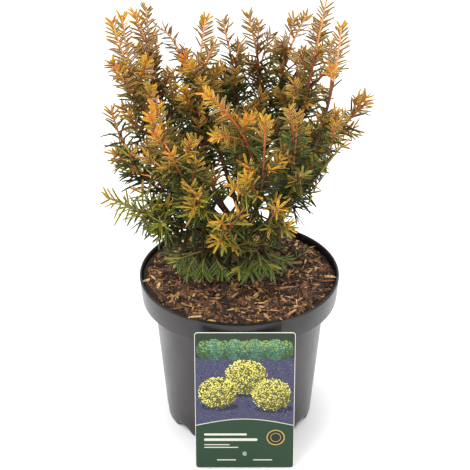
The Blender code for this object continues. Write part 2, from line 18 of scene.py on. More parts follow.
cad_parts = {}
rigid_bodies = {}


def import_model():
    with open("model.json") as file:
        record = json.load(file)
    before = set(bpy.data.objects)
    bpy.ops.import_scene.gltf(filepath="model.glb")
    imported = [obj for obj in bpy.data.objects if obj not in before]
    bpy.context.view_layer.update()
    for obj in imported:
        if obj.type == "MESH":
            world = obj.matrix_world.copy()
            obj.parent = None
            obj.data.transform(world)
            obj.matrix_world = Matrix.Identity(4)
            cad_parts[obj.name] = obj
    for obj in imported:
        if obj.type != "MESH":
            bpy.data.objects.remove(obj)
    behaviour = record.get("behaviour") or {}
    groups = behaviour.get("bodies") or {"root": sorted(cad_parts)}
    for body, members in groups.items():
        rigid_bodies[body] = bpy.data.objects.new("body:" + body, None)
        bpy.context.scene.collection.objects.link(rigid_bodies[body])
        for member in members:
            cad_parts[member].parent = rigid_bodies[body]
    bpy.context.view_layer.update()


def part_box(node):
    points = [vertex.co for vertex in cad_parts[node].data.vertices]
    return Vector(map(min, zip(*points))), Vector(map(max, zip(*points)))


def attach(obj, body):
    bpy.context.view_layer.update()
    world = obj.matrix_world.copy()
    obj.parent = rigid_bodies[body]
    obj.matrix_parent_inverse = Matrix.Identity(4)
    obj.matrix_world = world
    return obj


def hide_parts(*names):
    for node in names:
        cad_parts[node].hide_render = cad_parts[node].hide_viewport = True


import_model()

bl_info = {
    "name": "Golden yew in a nursery pot",
    "version": (1, 0, 0),
    "blender": (4, 5, 0),
    "location": "View3D > Sidebar > Yew",
    "description": "Dresses the packed yew with its pot, mulch, label, bark, twigs and needles",
    "category": "Add Mesh",
}

MM = 0.001
UP = Vector((0.0, 0.0, 1.0))

# Where each rule's random draws start, so that every run gives the same plant
CHIP_SEED = 100
CRUMB_SEED = 200
FIBRE_SEED = 300
PRINT_SEED = 7
FINE_SEED = 1000
BETWEEN_SEED = 2000
YOUNG_SEED = 3000
NEEDLE_SEED = 5000

# Pot, in millimetres, as in the part's source. Its foot has one notch in every few steps
# of its round, whose middle and reach to each side are given in steps.
POT_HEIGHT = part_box("pot")[1][2] / MM
POT_WALL = 1.2
POT_SIDES = 240
RIM_RADIUS = 95.0
LIP_WIDTH = 2.0
LIP_ROUND = 0.8
LIP_DEPTH = 3.0
COLLAR_HEIGHT = 24.3
COLLAR_FOOT_RADIUS = 92.9
COLLAR_FOOT = POT_HEIGHT - COLLAR_HEIGHT
BODY_TOP_RADIUS = 81.8
BODY_FOOT_RADIUS = 70.3
NOTCH_HEIGHT = 5.5
NOTCH_TOP = NOTCH_HEIGHT + 3.0
NOTCH_STEP_DEG = 7.2
NOTCH_STEPS = 5
NOTCH_START_DEG = -67.5
NOTCH_MIDDLE = 2.5
NOTCH_REACH = 1.5
STAND_RADIUS = 54.0
STAND_SLOPE = 3.0
FOOT_WIDTH = 2.4
FOOT_BEVEL = 0.6
CHANNEL_FLOOR = NOTCH_HEIGHT + POT_WALL
SHELF = COLLAR_FOOT + 1.0
SHOULDER = 4.0
POT_SHARP_DEG = 50.0

# Turned shells close at this radius from their axis, and rounding takes at most this
# share of a profile's edge
AXIS_RADIUS = 1.0
EASE_SHARE = 0.45

# Growing medium, and the gap that parts neighbouring solids. Its lumps are given by
# size, by level in the noise and by share of the relief. What lies on it keeps away
# from each stem by so many of the stem's radii.
SOIL_LEVEL = 149.0
SOIL_LEVEL_RADIUS = 74.0
SOIL_EDGE_RADIUS = 91.3
SOIL_HIGH_EDGE = 151.0
SOIL_LOW_EDGE = 146.5
SOIL_LOW_SIDE_DEG = 145.0
SOIL_ROOM = 2.0
SOIL_SIDES = 160
SOIL_RINGS = 46
LUMPS = ((16.0, 3.0, 0.6), (4.5, 9.0, 0.4))
STEM_ROOM = 1.7
GAP = 0.3

# What lies on the medium: name, colour and share of the number set. Then for chips how
# long, narrow and thick they are and how far they tilt, and for fibres how stout.
CHIPS = (
    ("peat_brown_chips", "#2a1c12", 0.36, 1.0, 0.30, 0.9, 32.0),
    ("bark_brown_chips", "#4a3322", 0.30, 1.0, 0.28, 1.1, 38.4),
    ("red_bark_chips", "#704a2f", 0.16, 1.2, 0.24, 1.2, 44.8),
    ("pale_wood_splinters", "#b0824e", 0.13, 1.5, 0.15, 1.0, 51.2),
    ("cream_wood_splinters", "#d2aa78", 0.05, 1.5, 0.16, 0.9, 48.0),
)
CRUMBS = (
    ("dark_crumbs", "#1e130b", 0.5),
    ("brown_crumbs", "#4e3522", 0.36),
    ("tan_crumbs", "#8e6a44", 0.14),
)
FIBRES = (
    ("brown_fibres", "#5e4029", 0.6, 1.0),
    ("straw_fibres", "#a8805a", 0.4, 1.0),
    ("wood_shreds", "#aa7f50", 0.08, 1.6),
)

# Their spreads, from least to most: shares of the usual length, width or thickness, and
# millimetres for half lengths, radii and the lift over the medium. Chip lengths spread
# by a mean and a deviation. A slab's upper face is smaller than its lower by two shares.
# Margins are kept from the pot's wall, and a fibre's thickness changes along it.
CHIP_SPREAD = (-0.3, 0.5)
CHIP_HALF_LENGTHS = (1.2, 8.0)
CHIP_WIDTHS = (0.7, 1.9)
CHIP_DEPTHS = (0.6, 1.5)
CHIP_LIFTS = (-0.1, 1.3)
CHIP_ROUGHNESS = 0.16
CHIP_MARGIN = 5.0
SLAB_TOP = (0.86, 0.8)
CRUMB_SIZES = (0.5, 1.5)
CRUMB_LIFT = 0.5
CRUMB_ROUGHNESS = 0.25
CRUMB_MARGIN = 2.0
CRUMB_TILT_DEG = 90.0
FIBRE_LENGTHS = (0.4, 1.25)
FIBRE_BENDS = (-0.25, 0.25)
FIBRE_RADII = (0.18, 0.5)
FIBRE_LIFTS = (0.2, 1.3)
FIBRE_MARGIN = 9.0
FIBRE_END_MARGIN = 1.5
FIBRE_STEPS = 5
FIBRE_TAPER = (0.5, 0.9, 1.0, 1.0, 0.8, 0.3)

# Label and strap
LABEL_WIDTH = 92.2
LABEL_LENGTH = 147.0
LABEL_THICKNESS = 0.8
LABEL_CORNER = 3.0
LABEL_BACK_TOP = (4.9, -96.7, 148.5)
LABEL_LEAN_DEG = 3.6
LABEL_HOLE_RADIUS = 2.3
LABEL_HOLE_UP = 16.0
STRAP_HALF_ANGLE_DEG = 23.0
STRAP_THICKNESS = 0.8
STRAP_DROP = 12.0
STRAP_STEPS = 40
STRAP_SHIFT = 0.1
STRAP_TUCK = 0.7
STRAP_ROUND = 0.35
STRAP_SHARP_DEG = 40.0

# The label's print, x across and y up from its top edge: its inks besides the two that
# are settings, and a picture of a hedge and three bushes on gravel, each by place and reach
INKS = {
    "night": "#1b1b30", "lilac": "#63677f", "yard": "#1c2a1a", "hedge": "#35502c",
    "teal": "#3f6a58", "lime": "#93ac52", "leaf": "#b4a83a", "sun": "#e0d96e",
    "shade": "#4c4a16", "cream": "#c4c4b8", "gilt": "#a58c48", "seal": "#101a0e",
    "dot": "#1e3e24",
}
INK_FILM = 0.03
PRINT_CORNER = 2.4
OVAL_SIDES = 30
FLECK_MARGIN = 0.2
PICTURE_FOOT = -104.0
YARD_FOOT = -27.0
GRAVEL_TOP = -29.0
GRAVEL_FLECKS = 1500
GRAVEL_LENGTHS = (0.3, 1.0)
GRAVEL_WIDTHS = (0.2, 0.5)
HEDGE_MIDDLE = -18.0
HEDGE = [(-37.0 + 9.25 * i, 7.6 + 1.2 * (i % 2)) for i in range(9)]
HEDGE_FLECKS = 260
BUSHES = ((1.0, -47.0, 19.5), (-25.0, -64.0, 17.5), (25.0, -66.0, 18.0))
BUSH_FLECKS_PER_AREA = 2.4

# By a bush's reach: the half width and height of its body, then how far down its shadow
# lies and the half width and height of that. It also lies so many millimetres right.
BUSH_BODY = (0.96, 0.9)
SHADOW_DOWN = 0.86
SHADOW_SIZE = (0.98, 0.26)
SHADOW_RIGHT = 2.0

# The panel below it: an upper edge that rises in a bow under a pale line, then rings by
# ink, one radius or two, and level over the board, bars by left, top, width and height,
# and dots
PANEL_TOP = -100.0
PANEL_BOW = 7.0
PANEL_LINE = 0.8
PANEL_STEPS = 24
RINGS = (("gilt", (8.6,), 10), ("seal", (7.4,), 11), ("gilt", (5.0, 4.4), 12))
RING_PLACE = (29.0, -113.0)
BARS = ((-38.0, -108.5, 40.0, 2.2), (-38.0, -114.0, 50.0, 2.8), (-38.0, -120.5, 24.0, 1.0),
        (-38.0, -123.5, 32.0, 1.0), (8.0, -137.5, 18.0, 1.1), (-26.0, -137.5, 18.0, 1.1))
BAR_ROUND = 0.45
DOTS = [(-42.0 + 4.0 * i, -103.0 - 4.0 * j, 0.55, 0.55, "dot") for i in range(22) for j in range(11)]

# How leaves are dabbed on a bush: how far they spill past it, its height to its width,
# its light, how that grows upwards and to the right, and its spread, the dabs' lengths
# and widths, and the ink over each limit of light
Leafage = namedtuple("Leafage", "spill tall light up side spread lengths widths inks")
HEDGE_LEAVES = Leafage(1.0, 1.3, 0.5, 0.45, 0.0, 0.25, (0.5, 1.1), (0.25, 0.5),
                       ((0.78, "lime"), (0.5, "teal"), (0.25, "hedge"), (-9.0, "yard")))
BUSH_LEAVES = Leafage(1.06, 0.94, 0.56, 0.3196, -0.16, 0.22, (0.6, 1.2), (0.3, 0.6),
                      ((0.58, "sun"), (0.38, "leaf"), (-9.0, "shade")))

# Standing stems: foot, top, and the radius at each
Stem = namedtuple("Stem", "name foot top foot_radius top_radius")
STEMS = (
    Stem("trunk", (6, 20, SOIL_LEVEL + GAP), (2, 14, 213), 6.4, 4.0),
    Stem("second_stem", (35, 50, SOIL_LEVEL + GAP), (42, 38, 238), 4.8, 3.2),
)
ROOT_FLARE = 0.6
FLARE_FADE = 6.0
FLARE_LOBES = 5
FLARE_LOBE_SHARE = 0.4

# Flakes of bark: how fast the noise runs round a stem and up it, and finer flakes by how
# many times smaller and how high. Boughs have flakes of their own and swell at the fork.
FLAKES_ROUND = 2.2
FLAKES_UP = 0.12
FINE_FLAKES = (2.7, 0.6)
BOUGH_FLAKES_ROUND = 1.5
BOUGH_FLAKES_UP = 0.25
BOUGH_RELIEF = 0.5
FORK_SWELL = 0.25
FORK_FADE = 5.0

# Limbs as in the source: parent, fork, bend, tip and bare share. Then their looks:
# warmth from green 0 to orange 1, millimetres of golden young growth, and droop
Limb = namedtuple("Limb", "name parent fork bend tip bare warmth young droop")
LIMBS = [Limb(*row) for row in (
    ("left_crest", "trunk", 184, (-94, -6, 276), (-102, -14, 418), 0.26, 0.66, 110, 0.0),
    ("left_crest_inner", "left_crest", 0.20, (-80, 20, 318), (-82, 8, 416), 0.28, 0.62, 90, 0.0),
    ("spire_left", "trunk", 192, (-54, 4, 256), (-31, 10, 405), 0.24, 0.84, 100, 0.0),
    ("left_arch", "trunk", 199, (-64, 44, 428), (-78, 25, 384), 0.26, 0.64, 90, 0.0),
    ("spire_middle", "trunk", 213, (6, 22, 310), (-14, 35, 392), 0.20, 0.62, 60, 0.0),
    ("spire_back", "trunk", 201, (34, 50, 296), (9, 54, 389), 0.24, 0.60, 70, 0.0),
    ("right_inner", "second_stem", 238, (22, 44, 324), (58, 35, 398), 0.14, 0.60, 70, 0.0),
    ("right_high", "second_stem", 219, (58, 4, 320), (75, 0, 427), 0.20, 0.62, 110, 0.0),
    ("right_front", "second_stem", 211, (80, -14, 290), (88, -20, 411), 0.23, 0.62, 110, 0.0),
    ("right_outer", "second_stem", 197, (64, 36, 250), (112, 8, 326), 0.20, 0.76, 40, 0.1),
    ("right_low", "second_stem", 187, (56, -12, 242), (90, -30, 302), 0.20, 0.34, 45, 0.2),
    ("left_outer", "trunk", 176, (-98, -14, 244), (-113, -22, 331), 0.22, 0.54, 40, 0.1),
    ("left_low", "trunk", 168, (-68, -20, 222), (-116, -35, 252), 0.20, 0.26, 60, 0.5),
    ("front_slant", "trunk", 200, (34, -50, 306), (-26, -56, 366), 0.24, 0.86, 130, 0.0),
    ("front_middle", "trunk", 190, (22, -62, 246), (22, -60, 340), 0.25, 0.86, 50, 0.0),
    ("front_left", "trunk", 179, (-44, -56, 240), (-72, -56, 354), 0.22, 0.74, 90, 0.0),
    ("front_gold", "trunk", 171, (-6, -24, 206), (-16, -70, 248), 0.20, 0.94, 60, 0.1),
    ("front_right", "second_stem", 198, (48, -38, 262), (50, -58, 344), 0.22, 0.52, 60, 0.0),
    ("front_low", "trunk", 179, (26, -18, 214), (33, -68, 260), 0.20, 0.90, 55, 0.2),
    ("skirt_left", "trunk", 160, (-28, -6, 188), (-54, -32, 187), 0.17, 0.08, 30, 1.5),
    ("skirt_right", "trunk", 159, (16, -4, 190), (19, -38, 188), 0.22, 0.12, 30, 1.5),
    ("back_left", "trunk", 188, (-54, 66, 222), (-62, 80, 322), 0.20, 0.40, 60, 0.0),
    ("back_middle", "trunk", 178, (2, 76, 214), (-8, 96, 308), 0.20, 0.42, 60, 0.0),
    ("back_right", "second_stem", 204, (52, 82, 236), (62, 84, 326), 0.20, 0.44, 60, 0.0),
    ("back_low_left", "trunk", 170, (-54, 46, 224), (-92, 50, 260), 0.20, 0.28, 50, 0.3),
    ("back_low_right", "second_stem", 180, (62, 68, 226), (80, 68, 280), 0.20, 0.30, 50, 0.3),
)]

# Short sprays that catch the eye, besides those that the rule grows: the limb that
# bears each, the share of the way along its leading shoot, the tip, then the looks
Spray = namedtuple("Spray", "limb share tip warmth young droop")
SPRAYS = [Spray(*row) for row in (
    ("left_crest", 0.56, (-111, -16, 419), 0.74, 70, 0.0),
    ("left_crest_inner", 0.56, (-92, 2, 419), 0.66, 60, 0.0),
    ("left_crest", 0.44, (-110, -26, 381), 0.84, 40, 0.0),
    ("left_crest_inner", 0.38, (-85, -18, 372), 0.86, 30, 0.0),
    ("spire_left", 0.46, (-33, -14, 360), 1.00, 40, 0.0),
    ("spire_left", 0.62, (-45, -8, 374), 0.90, 30, 0.0),
    ("spire_left", 0.56, (-22, -6, 393), 0.74, 50, 0.0),
    ("spire_back", 0.58, (28, 46, 379), 0.56, 40, 0.0),
    ("front_left", 0.62, (-78, -66, 352), 0.84, 40, 0.0),
    ("front_left", 0.46, (-74, -74, 340), 0.80, 40, 0.0),
    ("front_left", 0.34, (-60, -78, 322), 0.86, 40, 0.0),
    ("front_left", 0.06, (-41, -66, 265), 0.40, 40, 0.0),
    ("front_right", 0.56, (43, -68, 360), 0.72, 40, 0.0),
    ("right_low", 0.64, (85, -36, 330), 0.74, 30, 0.0),
    ("right_front", 0.44, (80, -32, 382), 0.84, 30, 0.0),
    ("right_inner", 0.50, (74, 20, 371), 0.78, 40, 0.0),
    ("right_inner", 0.36, (49, 36, 399), 0.66, 60, 0.0),
    ("right_high", 0.62, (69, 4, 409), 0.66, 50, 0.0),
    ("right_front", 0.54, (79, -14, 399), 0.62, 50, 0.0),
    ("spire_back", 0.70, (18, 50, 388), 0.60, 40, 0.0),
    ("right_outer", 0.74, (106, 6, 335), 0.66, 30, 0.0),
    ("spire_middle", 0.60, (0, 28, 378), 0.80, 30, 0.0),
    ("front_slant", 0.52, (-22, -70, 334), 0.66, 40, 0.0),
    ("front_middle", 0.16, (-7, -80, 292), 0.50, 40, 0.2),
    ("left_low", 0.34, (-72, -52, 236), 0.42, 30, 0.2),
    ("right_outer", 0.66, (114, 2, 338), 0.78, 40, 0.0),
    ("left_outer", 0.44, (-112, -30, 297), 0.60, 30, 0.0),
    ("left_low", 0.56, (-92, -52, 246), 0.36, 30, 0.5),
    ("left_low", 0.40, (-90, -22, 256), 0.30, 30, 0.4),
    ("back_middle", 0.40, (22, 90, 286), 0.46, 40, 0.0),
    ("back_middle", 0.56, (-32, 92, 304), 0.50, 40, 0.0),
    ("back_left", 0.50, (-86, 62, 306), 0.50, 40, 0.0),
    ("back_left", 0.30, (-40, 84, 268), 0.30, 40, 0.1),
    ("back_right", 0.50, (88, 62, 306), 0.52, 40, 0.0),
    ("back_right", 0.32, (44, 92, 282), 0.34, 40, 0.1),
    ("back_low_left", 0.42, (-66, 76, 236), 0.24, 30, 0.3),
    ("back_low_left", 0.20, (-34, 70, 214), 0.16, 30, 0.4),
    ("back_low_right", 0.44, (58, 92, 250), 0.26, 30, 0.3),
    ("back_low_right", 0.20, (84, 46, 236), 0.24, 30, 0.3),
    ("spire_back", 0.44, (34, 74, 350), 0.64, 50, 0.0),
    ("spire_back", 0.34, (-8, 82, 338), 0.60, 50, 0.0),
    ("spire_left", 0.34, (-46, 44, 340), 0.62, 50, 0.0),
    ("right_inner", 0.34, (74, 62, 346), 0.62, 50, 0.0),
    ("skirt_left", 0.22, (-16, -46, 184), 0.06, 20, 1.5),
    ("skirt_left", 0.36, (-34, -46, 182), 0.04, 20, 1.5),
    ("skirt_left", 0.52, (-48, -42, 180), 0.03, 20, 1.5),
    ("skirt_left", 0.66, (-64, -20, 184), 0.03, 20, 1.3),
    ("skirt_right", 0.14, (-2, -44, 182), 0.06, 20, 1.5),
    ("skirt_right", 0.34, (8, -50, 182), 0.09, 20, 1.5),
    ("skirt_right", 0.50, (30, -44, 184), 0.12, 20, 1.5),
    ("skirt_right", 0.30, (42, -30, 184), 0.12, 20, 1.3),
)]

# Lines of sight along which the photograph shows sky: two points on each, and a radius,
# which frays by this share of itself in waves of this size
GAPS = (
    ((84, -80, 375), (96, 100, 286), 10.2),
    ((86, -80, 295), (98, 100, 195), 13.0),
    ((92, -80, 319), (105, 100, 222), 8.4),
    ((-10, -80, 272), (-11, 100, 169), 7.0),
    ((22, -80, 263), (26, 100, 159), 5.0),
    ((48, -80, 429), (54, 100, 347), 5.6),
    ((13, -80, 417), (15, 100, 333), 4.7),
    ((98, -80, 407), (111, 100, 322), 6.5),
    ((73, -80, 369), (83, 100, 279), 5.0),
    ((82, -80, 313), (93, 100, 216), 5.5),
    ((77, -80, 292), (88, 100, 192), 6.5),
    ((72, -80, 278), (82, 100, 176), 6.5),
    ((-46, -80, 438), (-51, 100, 357), 6.5),
    ((-56, -80, 410), (-62, 100, 326), 4.5),
    ((43, -80, 407), (49, 100, 322), 4.5),
    ((64, -80, 406), (73, 100, 321), 4.0),
    ((109, -80, 352), (124, 100, 260), 6.5),
    ((93, -80, 394), (106, 100, 307), 5.0),
    ((78, -80, 377), (89, 100, 288), 4.5),
    ((-41, -80, 429), (-46, 100, 347), 5.0),
    ((-16, -80, 269), (-17, 100, 166), 5.0),
    ((72, -80, 394), (82, 100, 307), 4.0),
    ((89, -80, 396), (101, 100, 309), 4.0),
)
GAP_FRAY = 1.1
GAP_FRAY_SIZE = 3.4

# A small green sprig that lies on the medium at the right, and a cut stub behind it
SPRIG = ((43, 10, 154), (58, 24, 158), (71, 38, 155))
SPRIG_RADIUS = 0.6
SPRIG_NEEDLE_SHARE = 0.5
STUB = ((52, 70, 146), (53, 68, 161))
STUB_RADIUS = 1.8
STUB_FOOT_SHARE = 1.3

# How thick limbs and shoots are, how far leading shoots grow past the source's, and how
# finely their curves are drawn
LIMB_LEAST_RADIUS = 1.2
LIMB_RADIUS_PER_LENGTH = 0.0055
LIMB_TIP_RADIUS = 1.0
TIP_GROWTH = 5.0
SPRAY_BASE_RADIUS = 1.1
SPRAY_TIP_RADIUS = 0.8
SPRAY_BOW = 0.4
SPRAY_STEPS = 12
CURVE_STEPS = 80
CURVE_LEAST_STEP = 0.5
TWIG_SIDES = 8
TWIG_STEP = 2.4
TWIG_KNOT = 0.06
KNOT_TURN = 2.1
KNOT_PHASE = 7
TWIG_TWIST = 0.35
TWIG_LEAST = 1.5
TWIG_OVERLAP = 0.5
STEM_SIDES = 40
STEM_STEP = 1.2
STEM_CUT = 0.96
STEM_CUT_SLOPE = 12
BOUGH_SIDES = 12
BOUGH_STEP = 1.8

# The habit of side shoots: the source's own, and the same rule on a finer scale. First
# comes where along its parent the first one sits, the step to the next, and the share of
# the parent where they end. Then the angle, and the length: a share of what is left of
# the parent, some more, and the least and the most. Then each step of growth, how it
# bends upwards, the radius at base and tip, the room kept from other wood, and how far
# the step to the next and the length spread.
Habit = namedtuple("Habit", "first step last angle share extra least most grow rise radius tip room "
                            "spacing lengths")
SIDE = Habit(8.0, 18.0, 0.72, 48.0, 0.36, 14.0, 14.0, 50.0, 5.0, 0.10, 1.4, 0.9, 1.2,
             (0.85, 1.15), (0.85, 1.2))
BETWEEN = Habit(10.0, 8.0, 0.66, 44.0, 0.30, 10.0, 10.0, 44.0, 4.0, 0.09, 1.0, 0.7, 0.6,
                (0.8, 1.2), (0.7, 1.25))
FINE = Habit(8.0, 10.0, 0.70, 46.0, 0.30, 6.0, 8.0, 24.0, 4.0, 0.08, 0.8, 0.55, 0.6,
             (0.8, 1.2), (0.7, 1.3))

# The constant turn from one side shoot or needle to the next, the thinness of shoots as
# drawn, and how much of a shoot by the rule is young, by its limb's young growth
SIDE_TURN_DEG = 137.5
SIDE_SLENDERNESS = 0.8
YOUNG_SHARES = (0.15, 0.6)
TWIG_YOUNG_SHARE = 0.6

# Room for segments of wood that new shoots keep clear of
MOST_SEGMENTS = 30000

# The orders of shoots: leading shoots, their side shoots and finer twigs by the rule,
# then the sprays that have a set place, and the sprig on the medium
LEADING, SIDE_SHOOT, TWIG, PLACED, LYING = range(5)

# Rinds of twigs, how warm a shoot's has to be for the warm ones, the share of its young
# growth that is brightest, and from what height that is peach
RINDS = {"old_twigs": "#593323", "russet_twigs": "#8c4720", "amber_twigs": "#ae5a20",
         "peach_twigs": "#dc9c66", "green_twigs": "#80763a"}
WARM = 0.45
BRIGHT_SHARE = 0.5
PEACH_HEIGHT = 372.0

# The crown's axis, its top and its reach at each height, with some more for needles
CROWN_AXIS = (-5.0, 8.0)
CROWN_TOP = 432.0
CROWN_HEIGHTS = (150, 190, 235, 300, 360, 432)
CROWN_REACHES = (66, 92, 124, 128, 120, 112)
NEEDLE_REACH = 1.06

# Each tint of needle: middle of the blade, its margins, its paler underside, record slot
Tint = namedtuple("Tint", "name middle margin under slot")
TINTS = [Tint(*row) for row in (
    ("deep_green", "#24270b", "#414719", "#353a14", "needles_green"),
    ("forest", "#2c3410", "#5e6a27", "#49521f", "needles_green"),
    ("fresh_green", "#35451a", "#72803a", "#56632b", "needles_green"),
    ("olive", "#43390f", "#8c7a32", "#665720", "needles_olive"),
    ("sage", "#604c12", "#c49f52", "#88702c", "needles_olive"),
    ("peach_edged", "#624e28", "#e4c49a", "#9a7d50", "needles_gold"),
    ("yellow_green", "#6a6c18", "#b9b244", "#8c8832", "needles_olive"),
    ("bronze", "#78520e", "#d6a856", "#a27426", "needles_gold"),
    ("golden_olive", "#886610", "#deb44c", "#b48a2a", "needles_gold"),
    ("gold", "#ae7a0e", "#ecbc48", "#cf9c2e", "needles_gold"),
    ("orange", "#b85c0c", "#ea9e42", "#d27c26", "needles_gold"),
)]

# The tint over each limit of a needle's score: on old growth, on warm young growth low
# down and higher up, and on green young growth. Warm growth is gold for so many
# millimetres from its tip, and its golds are yellow up to a height that varies.
OLD_TINTS = ((0.48, "bronze"), (0.32, "sage"), (0.14, "olive"), (-0.14, "forest"), (-9.0, "deep_green"))
LOW_TINTS = ((0.58, "gold"), (0.42, "golden_olive"), (0.16, "yellow_green"), (-0.04, "olive"),
             (-9.0, "forest"))
WARM_TINTS = ((0.76, "orange"), (0.64, "gold"), (0.52, "golden_olive"), (0.36, "bronze"),
              (0.16, "sage"), (-0.06, "olive"), (-9.0, "forest"))
GREEN_TINTS = ((0.34, "golden_olive"), (0.14, "yellow_green"), (-9.0, "fresh_green"))
GOLD_REACH = 24.0
YELLOW_TOP = 272.0
YELLOW_TOP_SPREAD = 18.0

# What makes the score: shade falls outwards and upwards, warmth counts for less on old
# growth and fades from the tip, and shade, age and green take off by these weights.
# Chance spreads the scores, and sage and bronze turn peach up the crests.
SHADE_BY_REACH = 0.75
SHADE_BY_HEIGHT = 0.55
LEAST_YOUNG = 6.0
OLD_WARMTH = 0.22
OLD_CREST_WARMTH = 0.54
OLD_SHADE = 1.2
OLD_AGE = 0.05
OLDEST = 4.0
OLD_SPREAD = 0.08
WARM_FADE = 0.5
WARM_GREENING = 0.46
WARM_SHADE = 0.5
GREEN_WARMTH = 1.4
GREEN_SHADE = 0.3
YOUNG_SPREAD = 0.06
MOOD_SPREAD = 0.10
PEACH_CRESTS = (0.55, 1.05)

# Up the crests needles grow closer and more in two ranks: from what height, over what
# rise, and by what share. They shorten from lower down.
CREST_FOOT = 290.0
CREST_RISE = 90.0
CREST_CLOSENESS = 0.30
SHORTENING_FOOT = 215.0
SHORTENING_RISE = 145.0
SHORTENING = 0.38

# How far needles keep to the plane of their spray, from all round 0 to two ranks 1
SPRAY_FLATNESS = 0.40
CREST_FLATNESS = 0.68

# The plane of a spray faces the front or, from so far behind the crown's axis, the back.
# It fans out to the sides by a share over a distance, and looks up by another share.
FRONT_DEPTH = 20.0
FAN_SHARE = 0.35
FAN_DISTANCE = 100.0
LOOK_UP = 0.25

# A needle's blade: places along it, its share of the full width there, the section across
# it, the finish of each face round that, and each finish with its roughness. A mesh
# holds so many triangles at most.
BLADE_PLACES = (0.0, 0.14, 0.45, 0.74, 0.92)
BLADE_WIDTHS = (0.4, 0.94, 1.0, 0.94, 0.66)
BLADE_SECTION = ((-1.0, 0.0), (-0.6, 0.8), (0.0, 1.0), (0.6, 0.8), (1.0, 0.0), (0.0, -0.8))
BLADE_FACE_KINDS = (1, 0, 0, 1, 2, 2)
BLADE_FINISHES = (("middle", 0.30), ("margin", 0.36), ("under", 0.55))
NEEDLE_TRIANGLES = 60
MOST_TRIANGLES = 190000
MOST_NEEDLES = MOST_TRIANGLES // NEEDLE_TRIANGLES

# How a needle stands. It is full grown so far from the shoot's tip. Its lean from the
# shoot, in degrees, is that at the tip, what it gains by then, most of it early by a
# power, and a spread. Its length starts from a share at the tip and from another at the
# shoot's foot, up to a distance. Needles stand closer at the tip, from a share of their
# spacing, and the first one sits so far up a leading shoot or any other.
FULL_GROWN = 22.0
TIP_LEAN_DEG = 30.0
LEAN_GAIN_DEG = 20.0
LEAN_GAIN_POWER = 0.7
LEAN_SPREAD_DEG = 7.0
TIP_LENGTH = 0.72
FOOT_LENGTH = 0.62
FOOT_GROWTH = 24.0
TIP_SPACING = 0.55
LEADER_START = 0.5
SHOOT_START = 2.0

# Its upper face turns to the spray's plane and along the shoot, with a spread. Then the
# spreads of droop, length, spacing, width and turn, and how it curls over its face, out
# from the shoot, a little back towards its foot, and down, less so up the crests. It is
# rooted in the rind.
FACE_ALONG = 0.5
FACE_PLANE = 0.8
FACE_SPREAD = 0.3
DROOPS = (0.7, 1.1)
NEEDLE_LENGTHS = (0.8, 1.1)
NEEDLE_SPACINGS = (0.85, 1.15)
NEEDLE_WIDTHS = (0.85, 1.08)
NEEDLE_TURN_SPREAD = 0.12
CURLS_OVER = (-0.05, 0.12)
CURLS_OUT = (0.05, 0.42)
CURL_BACK = 0.5
CURLS_DOWN = (-0.05, 0.2)
CREST_STRAIGHTNESS = 0.6
ROOT_OUT = 0.6

# At these shares of their length needles keep clear of other shoots' wood, which is
# marked at even steps
CLEAR_SHARES = (0.45, 0.75, 1.0)
WOOD_STEP = 1.5
WOOD_ROOM = 1.1

# A bud's outline: height and half width at each ring, then its size by kind of shoot, and
# how deep it sits in the tip
BUD_RINGS = ((0.0, 0.5), (0.25, 1.0), (0.55, 0.85), (0.82, 0.45), (1.0, 0.08))
BIG_BUD = (0.85, 0.85, 2.6)
SMALL_BUD = (0.65, 0.65, 1.9)
BUD_SUNK = 0.4

# The stage, in metres: its floor's half width, the camera's place, where the lamps aim,
# and each lamp's name, place, size and watts
FLOOR_REACH = 4.0
CAMERA_PLACE = (-0.00414, -1.4696, 1.0643)
LAMP_AIM = (0.0, 0.0, 0.22)
LAMPS = (
    ("key_softbox", (-0.9, -1.1, 1.7), 1.0, 26.0),
    ("top_softbox", (0.1, 0.3, 1.9), 1.4, 22.0),
    ("fill_softbox", (1.5, -1.0, 0.9), 1.2, 9.0),
)


def linear(hex_colour):
    """Turn an sRGB hex colour into linear red, green and blue."""
    values = [int(hex_colour[i:i + 2], 16) / 255 for i in (1, 3, 5)]
    return [v / 12.92 if v <= 0.04045 else ((v + 0.055) / 1.055) ** 2.4 for v in values]


def swatch(name, description, hex_colour):
    """A colour setting whose default is an sRGB hex colour."""
    return FloatVectorProperty(name=name, description=description, subtype="COLOR", size=3,
                               min=0.0, max=1.0, default=linear(hex_colour))


def length(name, description, millimetres):
    """A length setting whose default is given in millimetres."""
    return FloatProperty(name=name, description=description, unit="LENGTH", min=0.0,
                         precision=5, default=millimetres * MM)


class YewPotSettings(bpy.types.PropertyGroup):
    """The pot and the label's strap"""
    plastic: swatch("Plastic", "Colour of the moulded pot", "#181314")
    scuff: swatch("Scuff", "Colour of dusty and rubbed plastic", "#2e2728")
    strap: swatch("Strap", "Colour of the label's strap", "#141414")
    corner: length("Corner", "How far the moulding's corners are rounded", 0.9)
    grain: length("Grain", "Size of the fine moulded texture", 0.7)


class YewMulchSettings(bpy.types.PropertyGroup):
    """The growing medium and what lies on it"""
    peat: swatch("Peat", "Colour of the dark medium between the chips", "#20150c")
    relief: length("Relief", "Height of the lumps in the surface", 1.6)
    chip: length("Chip", "Usual length of a bark chip", 9.0)
    fibre: length("Fibre", "Usual length of a loose fibre", 13.0)
    chips: IntProperty(name="Chips", description="Number of bark chips", default=2200, min=0)
    crumbs: IntProperty(name="Crumbs", description="Number of crumbs", default=3600, min=0)
    fibres: IntProperty(name="Fibres", description="Number of loose fibres", default=800, min=0)


class YewLabelSettings(bpy.types.PropertyGroup):
    """The label's board and print"""
    board: swatch("Board", "Colour of the board's bare edge and back", "#d2d0c6")
    panel: swatch("Panel", "Colour of the plain lower panel", "#16331c")
    gravel: swatch("Gravel", "Colour of the gravel bed", "#3a3a54")
    border: length("Border", "Width of the pale border", 0.5)


